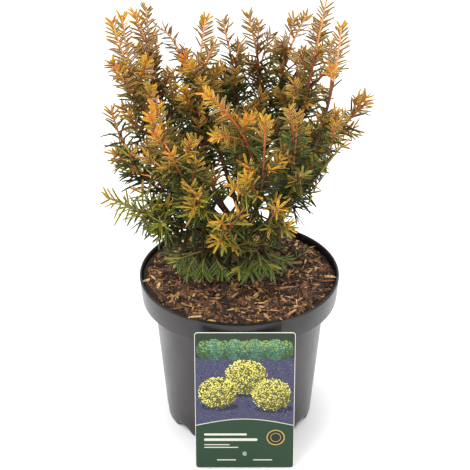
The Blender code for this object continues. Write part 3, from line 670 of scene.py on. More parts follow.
class YewCrownSettings(bpy.types.PropertyGroup):
    """Needles and bark"""
    needle_length: length("Needle length", "Length of a full-grown needle", 20.0)
    needle_width: length("Needle width", "Width of a full-grown needle", 1.95)
    needle_thickness: length("Needle thickness", "Thickness of a needle at its middle", 0.5)
    needle_spacing: length("Needle spacing", "Distance along a shoot between needles", 2.1)
    bark_relief: length("Bark relief", "Height of the flakes on the old stems", 0.5)


class YewStageSettings(bpy.types.PropertyGroup):
    """The floor and the camera"""
    floor: swatch("Floor", "Colour of the studio floor", "#f7f7f7")
    focal: FloatProperty(name="Focal length", description="Lens in millimetres for a 36 mm sensor",
                         default=139.07, min=1.0)
    tilt: FloatProperty(name="Tilt", description="How far the camera looks down",
                        subtype="ANGLE", default=math.radians(30.64))


SETTINGS = (
    ("yew_pot", YewPotSettings),
    ("yew_mulch", YewMulchSettings),
    ("yew_label", YewLabelSettings),
    ("yew_crown", YewCrownSettings),
    ("yew_stage", YewStageSettings),
)


# Noise in a material: size of its lumps in millimetres, detail, and stretch, which makes
# them longer where it is small
Pattern = namedtuple("Pattern", "size detail stretch", defaults=(3.0, (1.0, 1.0, 1.0)))
NOISE_LOW = 0.3
NOISE_HIGH = 0.7

# The colour sockets of a Mix node
MIX_FIRST = 6
MIX_SECOND = 7
MIX_RESULT = 2

# How much lighter or darker than its own colour the shades of peat and bark are
PEAT_LIGHTER = 2.6
BARK_DARKER = 0.62
BARK_LIGHTER = 1.35


def add_node(tree, kind, values=None, links=None):
    """Add a node: values set its properties or inputs by name, links feed its inputs."""
    node = tree.nodes.new(kind)
    for key, value in (values or {}).items():
        if isinstance(key, str) and hasattr(node, key):
            setattr(node, key, value)
        else:
            node.inputs[key].default_value = value
    for key, source in (links or {}).items():
        tree.links.new(source, node.inputs[key])
    return node


def patterned(name, colours, sheen, relief=None, blend=None, **values):
    """A Principled material, patterned by noise in the piece's own coordinates.

    colours holds one linear colour, or two that blend mixes: a pattern, and the noise
    where the first colour ends and the second begins. sheen is a pattern and the
    roughness at its low and its high spots. relief is a pattern, a depth in millimetres
    and a strength.
    """
    made = bpy.data.materials.new(name)
    made.use_nodes = True
    tree = made.node_tree
    shader = tree.nodes["Principled BSDF"]
    for key, value in values.items():
        shader.inputs[key.replace("_", " ")].default_value = value
    place = add_node(tree, "ShaderNodeTexCoord").outputs["Object"]
    spots = {}
    for pattern in dict.fromkeys(use[0] for use in (blend, sheen, relief) if use):
        mapped = add_node(tree, "ShaderNodeMapping", {"Scale": pattern.stretch}, {"Vector": place})
        spots[pattern] = add_node(tree, "ShaderNodeTexNoise",
                                  {"Scale": 1.0 / (pattern.size * MM), "Detail": pattern.detail},
                                  {"Vector": mapped.outputs["Vector"]}).outputs["Fac"]
    if blend:
        pattern, least, most = blend
        share = add_node(tree, "ShaderNodeMapRange", {"From Min": least, "From Max": most},
                         {"Value": spots[pattern]})
        first, second = ((*colour, 1.0) for colour in colours)
        mix = add_node(tree, "ShaderNodeMix",
                       {"data_type": "RGBA", MIX_FIRST: first, MIX_SECOND: second},
                       {"Factor": share.outputs["Result"]})
        tree.links.new(mix.outputs[MIX_RESULT], shader.inputs["Base Color"])
    else:
        shader.inputs["Base Color"].default_value = (*colours[0], 1.0)
    pattern, low, high = sheen
    rough = add_node(tree, "ShaderNodeMapRange",
                     {"From Min": NOISE_LOW, "From Max": NOISE_HIGH, "To Min": low, "To Max": high},
                     {"Value": spots[pattern]})
    tree.links.new(rough.outputs["Result"], shader.inputs["Roughness"])
    if relief:
        pattern, depth, strength = relief
        bump = add_node(tree, "ShaderNodeBump", {"Distance": depth * MM, "Strength": strength},
                        {"Height": spots[pattern]})
        tree.links.new(bump.outputs["Normal"], shader.inputs["Normal"])
    return made


def moulded_polypropylene(settings):
    """Black injection-moulded polypropylene: satin, a little dusty, finely grained.

    The real grain of about 0.1 mm wouldn't show, so the grain setting is coarser.
    """
    return patterned("injection_moulded_polypropylene", (settings.plastic, settings.scuff),
                     sheen=(Pattern(16.0, 2.0, (1.0, 1.0, 0.6)), 0.26, 0.32),
                     relief=(Pattern(settings.grain / MM, 2.0), 0.06, 0.35),
                     blend=(Pattern(34.0, 3.0, (1.0, 1.0, 0.8)), 0.44, 0.8),
                     IOR=1.49, Specular_IOR_Level=0.42)


def die_cut_strap(settings):
    """Thin black polypropylene sheet, die cut and folded: smoother than the pot."""
    return patterned("die_cut_polypropylene_strap", (settings.strap,), (Pattern(5.0), 0.34, 0.5),
                     (Pattern(1.2), 0.04, 0.3), IOR=1.49)


def coated_board(name, colour):
    """Offset-printed board under a thin film: even colour, soft orange-peel sheen."""
    peel = Pattern(3.0, 2.0)
    return patterned(name, (colour,), (peel, 0.34, 0.46), (peel, 0.02, 0.15),
                     IOR=1.5, Specular_IOR_Level=0.3, Coat_Weight=0.06, Coat_Roughness=0.15)


def composted_peat(settings):
    """Damp peat and composted bark: dark, crumbly, with no shine."""
    lumps = Pattern(3.5, 8.0)
    lighter = [min(1.0, v * PEAT_LIGHTER) for v in settings.peat]
    return patterned("peat_and_composted_bark", (settings.peat, lighter), (lumps, 0.95, 0.75),
                     (Pattern(1.6, 6.0), 0.9, 0.9), (lumps, 0.4, 0.72), IOR=1.4)


def split_bark(name, hex_colour):
    """Shredded pine bark and wood: dull, streaked along its fibres."""
    base = linear(hex_colour)
    streaks = Pattern(2.2, 5.0, (1.0, 0.35, 1.0))
    colours = [v * BARK_DARKER for v in base], [min(1.0, v * BARK_LIGHTER) for v in base]
    return patterned(name, colours, (streaks, 0.9, 0.75), (streaks, 0.35, 0.7),
                     (streaks, NOISE_LOW, NOISE_HIGH), IOR=1.45)


def flaking_bark(name, low_hex, high_hex, size_mm):
    """Old yew bark: thin red-brown flakes that lift along the stem, matt and dry."""
    flakes = Pattern(size_mm, 6.0, (1.0, 1.0, 0.3))
    return patterned(name, (linear(low_hex), linear(high_hex)), (flakes, 0.92, 0.7),
                     (flakes, 0.5, 0.8), (flakes, 0.35, 0.65), IOR=1.45)


def young_rind(name, hex_colour):
    """The rind of a young yew shoot: smooth, waxy, ridged below each needle."""
    ridges = Pattern(0.9, 3.0, (1.0, 1.0, 0.25))
    return patterned(name, (linear(hex_colour),), (ridges, 0.42, 0.6), (ridges, 0.12, 0.5), IOR=1.45)


def leaf_wax(name, hex_colour, roughness):
    """A yew needle's cuticle: a thin wax with a soft gloss, leathery underneath."""
    return patterned(name, (linear(hex_colour),), (Pattern(4.0, 2.0), roughness, roughness + 0.15),
                     IOR=1.45, Specular_IOR_Level=0.28)


def studio_floor(settings):
    """White painted board, rolled and matt."""
    return patterned("white_painted_board", (settings.floor,), (Pattern(40.0), 0.8, 0.9))


def add_mesh(name, points, faces, finishes, kinds=None, smooth=True):
    """Make a mesh object from millimetre points; kinds gives each face's finish."""
    mesh = bpy.data.meshes.new(name)
    mesh.from_pydata((np.asarray(points, float) * MM).tolist(), [], faces)
    for finish in finishes:
        mesh.materials.append(finish)
    if kinds is not None:
        mesh.polygons.foreach_set("material_index", kinds)
    if smooth:
        mesh.shade_smooth()
    made = bpy.data.objects.new(name, mesh)
    bpy.context.scene.collection.objects.link(made)
    return made


def dress(piece, slot, *nodes):
    """Let a piece ride on the plant's one body, for the nodes it replaces; slot is not used."""
    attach(piece, "root")
    if nodes:
        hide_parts(*nodes)
    return piece


# The outline of chips and buds, and a small octahedron for crumbs and printed dabs
HEXAGON = [(math.cos(k * math.pi / 3), math.sin(k * math.pi / 3)) for k in range(6)]
CRUMB = np.array([(1, 0, 0), (0, 1, 0), (-1, 0, 0), (0, -1, 0), (0, 0, 1), (0, 0, -1)], float)
CRUMB_FACES = [(i, (i + 1) % 4, 4) for i in range(4)] + [((i + 1) % 4, i, 5) for i in range(4)]


def named_over(value, limits):
    """The name beside the first limit that a value is over, from limits that fall."""
    return next(name for limit, name in limits if value > limit)


def walls(first, second):
    """Quads between two rings of vertices, each given as a list of indices."""
    count = len(first)
    return [(first[i], first[(i + 1) % count], second[(i + 1) % count], second[i])
            for i in range(count)]


def stacked(rings):
    """Points and faces of a closed solid through equal rings."""
    sides = len(rings[0])
    points = [point for ring in rings for point in ring]
    index = [list(range(i, i + sides)) for i in range(0, len(points), sides)]
    faces = [index[0][::-1], index[-1]]
    for first, second in zip(index, index[1:]):
        faces += walls(first, second)
    return points, faces


def joined(solids):
    """One list of points and one of faces from several (points, faces)."""
    points, faces = [], []
    for some_points, some_faces in solids:
        start = len(points)
        points += some_points
        faces += [[i + start for i in face] for face in some_faces]
    return points, faces


def stamped(template, faces, centres, turns, sizes, rough=0.0, rng=None):
    """Many turned and scaled copies of one small solid, as one list of points and faces."""
    shape = template[None] * np.asarray(sizes)[:, None]
    if rough:
        shape = shape * (1 + rng.uniform(-rough, rough, shape.shape))
    points = np.einsum("nij,nmj->nmi", turns, shape) + np.asarray(centres)[:, None]
    starts = np.arange(len(points)) * len(template)
    copies = [face for kind in faces for face in (np.array(kind)[None] + starts[:, None]).tolist()]
    return points.reshape(-1, 3), copies


def spun(rng, count, most_tilt_deg):
    """Turn matrices with any heading and a tilt up to a limit."""
    heading = rng.uniform(0, 2 * math.pi, count)
    tilt = np.radians(most_tilt_deg) * rng.uniform(-1, 1, count) * rng.uniform(0, 1, count)
    roll = np.radians(most_tilt_deg) * rng.uniform(-1, 1, count) * rng.uniform(0, 1, count)
    return np.array([Matrix.Rotation(h, 3, "Z") @ Matrix.Rotation(t, 3, "X") @ Matrix.Rotation(r, 3, "Y")
                     for h, t, r in zip(heading, tilt, roll)])


def quadratic(start, bend, end, steps):
    """Points along a bow that leaves its start towards bend and meets its end from there."""
    shares = [i / steps for i in range(steps + 1)]
    return [start * (1 - t) ** 2 + bend * 2 * t * (1 - t) + end * t ** 2 for t in shares]


def eased(corners, reach, steps=4):
    """Round each inner corner of a profile by a short bow that starts reach away."""
    points = [corners[0]]
    for before, corner, after in zip(corners, corners[1:], corners[2:]):
        a, c, b = (np.array(p, float) for p in (before, corner, after))
        start = c + (a - c) * min(EASE_SHARE, reach / np.linalg.norm(a - c))
        end = c + (b - c) * min(EASE_SHARE, reach / np.linalg.norm(b - c))
        points += [tuple(point) for point in quadratic(start, c, end, steps)]
    return points + [corners[-1]]


def body_radius(height):
    """Outer radius of the pot's tapering body at a height."""
    return BODY_FOOT_RADIUS + (BODY_TOP_RADIUS - BODY_FOOT_RADIUS) * height / COLLAR_FOOT


def notch(angle_deg):
    """How far the pot's foot is raised at an angle: soft drain notches, evenly spaced."""
    place = (angle_deg - NOTCH_START_DEG) / NOTCH_STEP_DEG % NOTCH_STEPS
    rise = min(max(NOTCH_REACH - abs(place - NOTCH_MIDDLE), 0.0), 1.0)
    return NOTCH_HEIGHT * rise * rise * (3 - 2 * rise)


def ring_at(radius, height, sides):
    """A ring about the Z axis, from the side of the label round to the right."""
    turn = [2 * math.pi * i / sides for i in range(sides)]
    return [(radius * math.sin(a), -radius * math.cos(a), height) for a in turn]


def make_pot(settings):
    """The whole pot as one turned shell, its foot lifted into notches."""
    inner_foot = body_radius(CHANNEL_FLOOR) - POT_WALL
    profile = eased([
        (AXIS_RADIUS, 0.0),
        (STAND_RADIUS, 0.0),
        (STAND_RADIUS + STAND_SLOPE, NOTCH_HEIGHT),
        (BODY_FOOT_RADIUS - FOOT_WIDTH - FOOT_BEVEL, NOTCH_HEIGHT + GAP),
        (BODY_FOOT_RADIUS - FOOT_WIDTH, 0.0),
        (BODY_FOOT_RADIUS, 0.0),
        (body_radius(NOTCH_TOP), NOTCH_TOP),
        (BODY_TOP_RADIUS, COLLAR_FOOT),
        (COLLAR_FOOT_RADIUS, COLLAR_FOOT),
        (RIM_RADIUS, POT_HEIGHT - LIP_ROUND),
        (RIM_RADIUS - LIP_ROUND, POT_HEIGHT),
        (RIM_RADIUS - LIP_WIDTH, POT_HEIGHT),
        (RIM_RADIUS - LIP_WIDTH - LIP_ROUND, POT_HEIGHT - LIP_DEPTH),
        (COLLAR_FOOT_RADIUS - POT_WALL, COLLAR_FOOT + SHOULDER),
        (BODY_TOP_RADIUS - POT_WALL, SHELF),
        (inner_foot, CHANNEL_FLOOR + FOOT_BEVEL),
        (STAND_RADIUS + STAND_SLOPE - FOOT_BEVEL, CHANNEL_FLOOR),
        (STAND_RADIUS - FOOT_BEVEL, POT_WALL),
        (AXIS_RADIUS, POT_WALL),
    ], settings.corner / MM)
    rings = []
    for radius, height in profile:
        ring = ring_at(radius, height, POT_SIDES)
        foot = BODY_FOOT_RADIUS - FOOT_WIDTH - FOOT_BEVEL
        if height < NOTCH_TOP and foot < radius < inner_foot + 2 * POT_WALL:
            share = 1 - height / NOTCH_TOP
            lifts = [notch(360.0 * i / POT_SIDES) * share for i in range(POT_SIDES)]
            ring = [(x, y, z + lift) for (x, y, z), lift in zip(ring, lifts)]
        rings.append(ring)
    points, faces = stacked(rings)
    pot = add_mesh("nursery_pot", points, faces, [moulded_polypropylene(settings)])
    pot.data.set_sharp_from_angle(angle=math.radians(POT_SHARP_DEG))
    return dress(pot, "pot", "pot")


def soil_top(x, y, relief):
    """Height of the medium's surface at a place, with lumps of a given relief."""
    radius = math.hypot(x, y)
    angle = math.degrees(math.atan2(x, -y)) - SOIL_LOW_SIDE_DEG
    low = (1 + math.cos(math.radians(angle))) / 2
    edge = SOIL_HIGH_EDGE + (SOIL_LOW_EDGE - SOIL_HIGH_EDGE) * low
    share = min(max((radius - SOIL_LEVEL_RADIUS) / (SOIL_EDGE_RADIUS - SOIL_LEVEL_RADIUS), 0.0), 1.0)
    lumps = sum(part * noise.noise(Vector((x, y, level)) / size) for size, level, part in LUMPS)
    return SOIL_LEVEL + (edge - SOIL_LEVEL) * share + relief * lumps


def make_potting_mix(settings):
    """The body of the medium: the source's solid with a lumpy upper face."""
    relief = settings.relief / MM
    inside = POT_WALL + GAP
    below = [
        (AXIS_RADIUS, inside),
        (STAND_RADIUS - 2 * FOOT_BEVEL, inside),
        (STAND_RADIUS + STAND_SLOPE - 2 * FOOT_BEVEL, CHANNEL_FLOOR + GAP),
        (body_radius(CHANNEL_FLOOR) - inside, CHANNEL_FLOOR + FOOT_BEVEL + GAP),
        (BODY_TOP_RADIUS - inside, SHELF + GAP),
        (COLLAR_FOOT_RADIUS - inside, COLLAR_FOOT + SHOULDER + GAP),
    ]
    rings = [ring_at(radius, height, SOIL_SIDES) for radius, height in below]
    for radius in np.linspace(SOIL_EDGE_RADIUS, AXIS_RADIUS, SOIL_RINGS):
        flat = ring_at(radius, 0.0, SOIL_SIDES)
        rings.append([(x, y, soil_top(x, y, relief)) for x, y, _ in flat])
    points, faces = stacked(rings)
    mix = add_mesh("potting_mix", points, faces, [composted_peat(settings)])
    return dress(mix, "growing_medium", "soil")


def soil_places(rng, count, margin):
    """Places spread over the medium, clear of the stems and of the pot's wall."""
    places = []
    while len(places) < count:
        radius = (SOIL_EDGE_RADIUS - margin) * math.sqrt(rng.uniform(0, 1))
        turn = rng.uniform(0, 2 * math.pi)
        x, y = radius * math.sin(turn), radius * math.cos(turn)
        if all(math.hypot(x - s.foot[0], y - s.foot[1]) > s.foot_radius * STEM_ROOM for s in STEMS):
            places.append((x, y))
    return places


def make_mulch(settings):
    """Bark chips, splinters, crumbs and fibres lying on the medium, each kind joined."""
    relief = settings.relief / MM

    def lay(name, hex_colour, solid, smooth=False):
        dress(add_mesh(name, *solid, [split_bark(name, hex_colour)], smooth=smooth), "growing_medium")

    wide, deep = SLAB_TOP
    slab, slab_faces = stacked([[(x, y, -0.5) for x, y in HEXAGON],
                                [(wide * x, deep * y, 0.5) for x, y in HEXAGON]])
    for number, (name, hex_colour, share, longer, narrow, thick, tilt) in enumerate(CHIPS):
        rng = np.random.default_rng(CHIP_SEED + number)
        count = round(settings.chips * share)
        long = settings.chip / MM * longer * rng.lognormal(*CHIP_SPREAD, count) / 2
        long = np.clip(long, *CHIP_HALF_LENGTHS)
        sizes = np.stack([long, long * narrow * rng.uniform(*CHIP_WIDTHS, count),
                          thick * rng.uniform(*CHIP_DEPTHS, count)], axis=1)
        centres = [(x, y, soil_top(x, y, relief) + rng.uniform(*CHIP_LIFTS))
                   for x, y in soil_places(rng, count, CHIP_MARGIN)]
        turns = spun(rng, count, tilt)
        lay(name, hex_colour, stamped(np.array(slab), slab_faces, centres, turns, sizes,
                                      CHIP_ROUGHNESS, rng))
    for number, (name, hex_colour, share) in enumerate(CRUMBS):
        rng = np.random.default_rng(CRUMB_SEED + number)
        count = round(settings.crumbs * share)
        centres = [(x, y, soil_top(x, y, relief) + CRUMB_LIFT)
                   for x, y in soil_places(rng, count, CRUMB_MARGIN)]
        sizes = rng.uniform(*CRUMB_SIZES, (count, 3))
        turns = spun(rng, count, CRUMB_TILT_DEG)
        lay(name, hex_colour, stamped(CRUMB, CRUMB_FACES, centres, turns, sizes, CRUMB_ROUGHNESS, rng))
    for number, (name, hex_colour, share, stout) in enumerate(FIBRES):
        rng = np.random.default_rng(FIBRE_SEED + number)
        places = soil_places(rng, round(settings.fibres * share), FIBRE_MARGIN)
        strands = (fibre(rng, x, y, settings.fibre / MM * rng.uniform(*FIBRE_LENGTHS), stout, relief)
                   for x, y in places)
        lay(name, hex_colour, joined(strands), True)


def fibre(rng, x, y, long, stout, relief):
    """One bent fibre that lies on the medium, as a thin three-sided strand."""
    turn = rng.uniform(0, 2 * math.pi)
    ahead = Vector((math.cos(turn), math.sin(turn), 0))
    aside = Vector((-ahead.y, ahead.x, 0))
    bend = rng.uniform(*FIBRE_BENDS) * long
    radius = rng.uniform(*FIBRE_RADII) * stout
    points = []
    for i in range(FIBRE_STEPS + 1):
        t = i / FIBRE_STEPS - 0.5
        p = Vector((x, y, 0)) + ahead * long * t + aside * bend * (4 * t * t - 1)
        p = p * min(1.0, (SOIL_EDGE_RADIUS - FIBRE_END_MARGIN) / max(p.length, 1.0))
        p.z = soil_top(p.x, p.y, relief) + radius + rng.uniform(*FIBRE_LIFTS)
        points.append(p)
    curve = Curve(points)
    return stacked([curve.ring(curve.length * i / FIBRE_STEPS, radius * wide, 3)
                    for i, wide in enumerate(FIBRE_TAPER)])


def label_place():
    """From the label's drawing, x across and y up from its top edge, to the world."""
    lean = Matrix.Rotation(-math.radians(LABEL_LEAN_DEG), 4, "X")
    return Matrix.Translation(LABEL_BACK_TOP) @ lean @ Matrix.Rotation(math.pi / 2, 4, "X")


def arc(x, y, radius, start_deg, end_deg, steps):
    """Points on part of a circle."""
    turns = [math.radians(start_deg + (end_deg - start_deg) * i / steps) for i in range(steps + 1)]
    return [(x + radius * math.cos(a), y + radius * math.sin(a)) for a in turns]


def round_box(left, low, right, high, corner, steps=6):
    """Outline of a rectangle with round corners."""
    return (arc(right - corner, high - corner, corner, 0, 90, steps)
            + arc(left + corner, high - corner, corner, 90, 180, steps)
            + arc(left + corner, low + corner, corner, 180, 270, steps)
            + arc(right - corner, low + corner, corner, 270, 360, steps))


def flat_solid(outlines, low, high):
    """A thin solid from an outline and its holes, between two heights over the label's back."""
    drawing = bpy.data.curves.new("outline", "CURVE")
    drawing.dimensions = "2D"
    drawing.fill_mode = "BOTH"
    drawing.extrude = (high - low) / 2
    for outline in outlines:
        line = drawing.splines.new("POLY")
        line.points.add(len(outline) - 1)
        line.use_cyclic_u = True
        line.points.foreach_set("co", [value for x, y in outline for value in (x, y, 0.0, 1.0)])
    helper = bpy.data.objects.new("outline", drawing)
    mesh = bpy.data.meshes.new_from_object(helper)
    place = label_place()
    middle = Vector((0, 0, (low + high) / 2))
    points = [place @ (v.co + middle) for v in mesh.vertices]
    faces = [list(p.vertices) for p in mesh.polygons]
    bpy.data.objects.remove(helper)
    bpy.data.curves.remove(drawing)
    bpy.data.meshes.remove(mesh)
    return points, faces


def label_hole():
    """The punched hole's outline, low on the label."""
    return arc(0.0, LABEL_HOLE_UP - LABEL_LENGTH, LABEL_HOLE_RADIUS, 0, 345, 23)


def make_label(settings):
    """The board itself, and a generic printed design on its face."""
    half = LABEL_WIDTH / 2
    board = coated_board("coated_white_board", settings.board)
    outline = round_box(-half, -LABEL_LENGTH, half, 0.0, LABEL_CORNER)
    card = flat_solid([outline, label_hole()], 0.0, LABEL_THICKNESS)
    dress(add_mesh("label_card", *card, [board], smooth=False), "label", "label")
    inks = {"gravel": settings.gravel, "panel": settings.panel}
    inks.update({name: linear(hex_colour) for name, hex_colour in INKS.items()})
    finishes = [coated_board("ink_" + name, colour) for name, colour in inks.items()]
    edge = half - settings.border / MM
    rng = np.random.default_rng(PRINT_SEED)
    layers = picture_layers(rng, edge) + panel_layers(rng, edge)
    solid = joined(solid for _, solid in layers)
    kinds = [list(inks).index(ink) for ink, (_, faces) in layers for _ in faces]
    dress(add_mesh("label_print", *solid, finishes, kinds, smooth=False), "label")


def oval(x, y, wide, high):
    """Outline of an upright oval."""
    turns = [2 * math.pi * i / OVAL_SIDES for i in range(OVAL_SIDES)]
    return [(x + wide * math.cos(a), y + high * math.sin(a)) for a in turns]


def ink_layer(ink, outlines, level):
    """One printed shape, so many films over the board's face: (ink, (points, faces))."""
    low = LABEL_THICKNESS + level * INK_FILM
    return ink, flat_solid(outlines, low, low + INK_FILM)


def dabbed_leaves(rng, x, y, reach, count, kind):
    """Dabs of ink for the leaves of one printed bush: (x, y, length, width, ink)."""
    dabs = []
    for _ in range(count):
        r, a = reach * math.sqrt(rng.uniform(0, kind.spill)), rng.uniform(0, 2 * math.pi)
        across, rise = r * math.cos(a), r * math.sin(a)
        light = kind.light + (kind.up * rise + kind.side * across) / reach + rng.normal(0.0, kind.spread)
        dabs.append((x + across, y + kind.tall * rise, rng.uniform(*kind.lengths),
                     rng.uniform(*kind.widths), named_over(light, kind.inks)))
    return dabs


def picture_layers(rng, edge):
    """A clipped hedge behind a gravel bed with three round golden bushes."""
    top = edge - LABEL_WIDTH / 2
    layers = [ink_layer("gravel", [round_box(-edge, PICTURE_FOOT, edge, top, PRINT_CORNER)], 0),
              ink_layer("yard", [round_box(-edge, YARD_FOOT, edge, top, PRINT_CORNER)], 1)]
    dabs = []
    for i, (x, reach) in enumerate(HEDGE):
        layers.append(ink_layer(("hedge", "teal")[i % 2],
                                [oval(x, HEDGE_MIDDLE, reach, reach * HEDGE_LEAVES.tall)], 2 + i % 2))
        dabs += dabbed_leaves(rng, x, HEDGE_MIDDLE, reach, HEDGE_FLECKS, HEDGE_LEAVES)
    for _ in range(GRAVEL_FLECKS):
        x, y = rng.uniform(-edge, edge), rng.uniform(PICTURE_FOOT, GRAVEL_TOP)
        dabs.append((x, y, rng.uniform(*GRAVEL_LENGTHS), rng.uniform(*GRAVEL_WIDTHS),
                     ("lilac", "night")[int(rng.integers(2))]))
    for x, y, reach in BUSHES:
        shadow = oval(x + SHADOW_RIGHT, y - reach * SHADOW_DOWN, *(reach * share for share in SHADOW_SIZE))
        layers.append(ink_layer("night", [shadow], 3))
        layers.append(ink_layer("shade", [oval(x, y, *(reach * share for share in BUSH_BODY))], 5))
        dabs += dabbed_leaves(rng, x, y, reach, round(BUSH_FLECKS_PER_AREA * reach ** 2), BUSH_LEAVES)
    inside = [dab for dab in dabs if abs(dab[0]) < edge - dab[2] - FLECK_MARGIN
              and PICTURE_FOOT < dab[1] < top - dab[2] - FLECK_MARGIN]
    return layers + printed_dabs(rng, inside, 6)


def panel_layers(rng, edge):
    """A dotted panel that rises in a bow, with plain rings and bars."""
    low, corner = -LABEL_LENGTH - (edge - LABEL_WIDTH / 2), PRINT_CORNER
    foot = (arc(corner - edge, low + corner, corner, 180, 270, 6)
            + arc(edge - corner, low + corner, corner, 270, 360, 6))
    bow = [(edge - 2 * edge * i / PANEL_STEPS,
            PANEL_TOP + PANEL_BOW * math.sin(math.pi * i / PANEL_STEPS)) for i in range(PANEL_STEPS + 1)]
    layers = [ink_layer("cream", [foot + [(x, y + PANEL_LINE) for x, y in bow], label_hole()], 8),
              ink_layer("panel", [foot + bow, label_hole()], 9)]
    for ink, radii, level in RINGS:
        layers.append(ink_layer(ink, [arc(*RING_PLACE, radius, 0, 350, 36) for radius in radii], level))
    for x, y, wide, high in BARS:
        layers.append(ink_layer("cream", [round_box(x, y - high, x + wide, y, high * BAR_ROUND, 3)], 10))
    return layers + printed_dabs(rng, DOTS, 9.9)


def printed_dabs(rng, dabs, level):
    """Small printed dabs, joined ink by ink, so many films over the label's face."""
    place = label_place()
    layers = []
    for ink in sorted({dab[4] for dab in dabs}):
        own = [dab for dab in dabs if dab[4] == ink]
        centres = [(x, y, LABEL_THICKNESS + level * INK_FILM) for x, y, *_ in own]
        sizes = [(long, wide, INK_FILM) for _, _, long, wide, _ in own]
        points, copies = stamped(CRUMB, CRUMB_FACES, centres, spun(rng, len(own), 0.0), sizes)
        layers.append((ink, ([place @ Vector(p) for p in points], copies)))
    return layers


def make_strap(settings):
    """The folded strap that hooks the label over the rim, with rounded folds."""
    outer = RIM_RADIUS + GAP + STRAP_SHIFT
    inner = RIM_RADIUS - LIP_WIDTH - LIP_ROUND - GAP + STRAP_SHIFT
    under = POT_HEIGHT + GAP
    tuck = SOIL_HIGH_EDGE + STRAP_TUCK
    section = [
        (outer, POT_HEIGHT - STRAP_DROP),
        (outer + STRAP_THICKNESS, POT_HEIGHT - STRAP_DROP),
        (outer + STRAP_THICKNESS, under + STRAP_THICKNESS),
        (inner - STRAP_THICKNESS, under + STRAP_THICKNESS),
        (inner - STRAP_THICKNESS, tuck),
        (inner, tuck),
        (inner, under),
        (outer, under),
    ]
    loop = eased(section + section[:2], STRAP_ROUND, 3)[1:-1]
    half = math.radians(STRAP_HALF_ANGLE_DEG)
    angles = [half * (1 - 2 * i / STRAP_STEPS) for i in range(STRAP_STEPS + 1)]
    rings = [[(r * math.sin(a), -r * math.cos(a), z) for r, z in loop] for a in angles]
    points, faces = stacked(rings)
    strap = add_mesh("label_hook_strap", points, faces, [die_cut_strap(settings)])
    strap.data.set_sharp_from_angle(angle=math.radians(STRAP_SHARP_DEG))
    return dress(strap, "strap", "label_strap")


class Curve:
    """A smooth line with even measure along it, and frames that never twist."""

    def __init__(self, points):
        self.points = points
        self.marks = [0.0]
        for a, b in zip(points, points[1:]):
            self.marks.append(self.marks[-1] + (b - a).length)
        self.length = self.marks[-1]
        self.sides = []
        side = (points[1] - points[0]).orthogonal().normalized()
        for i in range(len(points)):
            along = self.heading(i)
            side = (side - along * side.dot(along)).normalized()
            self.sides.append(side)

    def heading(self, i):
        """Unit tangent at one of the curve's own points."""
        ahead = self.points[min(i + 1, len(self.points) - 1)]
        return (ahead - self.points[max(i - 1, 0)]).normalized()

    def at(self, distance):
        """The point, tangent and side vector at a distance along the curve."""
        i = int(np.searchsorted(self.marks, distance))
        i = min(max(i, 1), len(self.points) - 1)
        share = (distance - self.marks[i - 1]) / (self.marks[i] - self.marks[i - 1])
        point = self.points[i - 1].lerp(self.points[i], share)
        along = self.heading(i - 1).lerp(self.heading(i), share).normalized()
        side = self.sides[i - 1].lerp(self.sides[i], share)
        return point, along, (side - along * side.dot(along)).normalized()

    def part(self, low, high):
        """The stretch of this curve between two distances, as its own curve."""
        after, before = low + CURVE_LEAST_STEP, high - CURVE_LEAST_STEP
        inner = [p for p, mark in zip(self.points, self.marks) if after < mark < before]
        return Curve([self.at(low)[0]] + inner + [self.at(high)[0]])

    def ring(self, distance, radius, sides, turn=0.0):
        """A ring of points square to the curve."""
        point, along, side = self.at(distance)
        across = along.cross(side)
        angles = [turn + 2 * math.pi * k / sides for k in range(sides)]
        return [point + (side * math.cos(a) + across * math.sin(a)) * radius for a in angles]


def limb_radius(whole, share):
    """Radius of a limb of a given whole length, at a share of the way along."""
    base = LIMB_LEAST_RADIUS + LIMB_RADIUS_PER_LENGTH * whole
    return base + (LIMB_TIP_RADIUS - base) * share


def limb_curves():
    """The whole curve of every limb, by name, from its fork to its tip."""
    ends = {stem.name: (Vector(stem.foot), Vector(stem.top)) for stem in STEMS}
    curves = {}
    for limb in LIMBS:
        if limb.parent in ends:
            foot, top = ends[limb.parent]
            start = foot.lerp(top, (limb.fork - foot.z) / (top.z - foot.z))
        else:
            whole = curves[limb.parent]
            start = whole.at(whole.length * limb.fork)[0]
        curves[limb.name] = Curve(quadratic(start, Vector(limb.bend), Vector(limb.tip), CURVE_STEPS))
    return curves


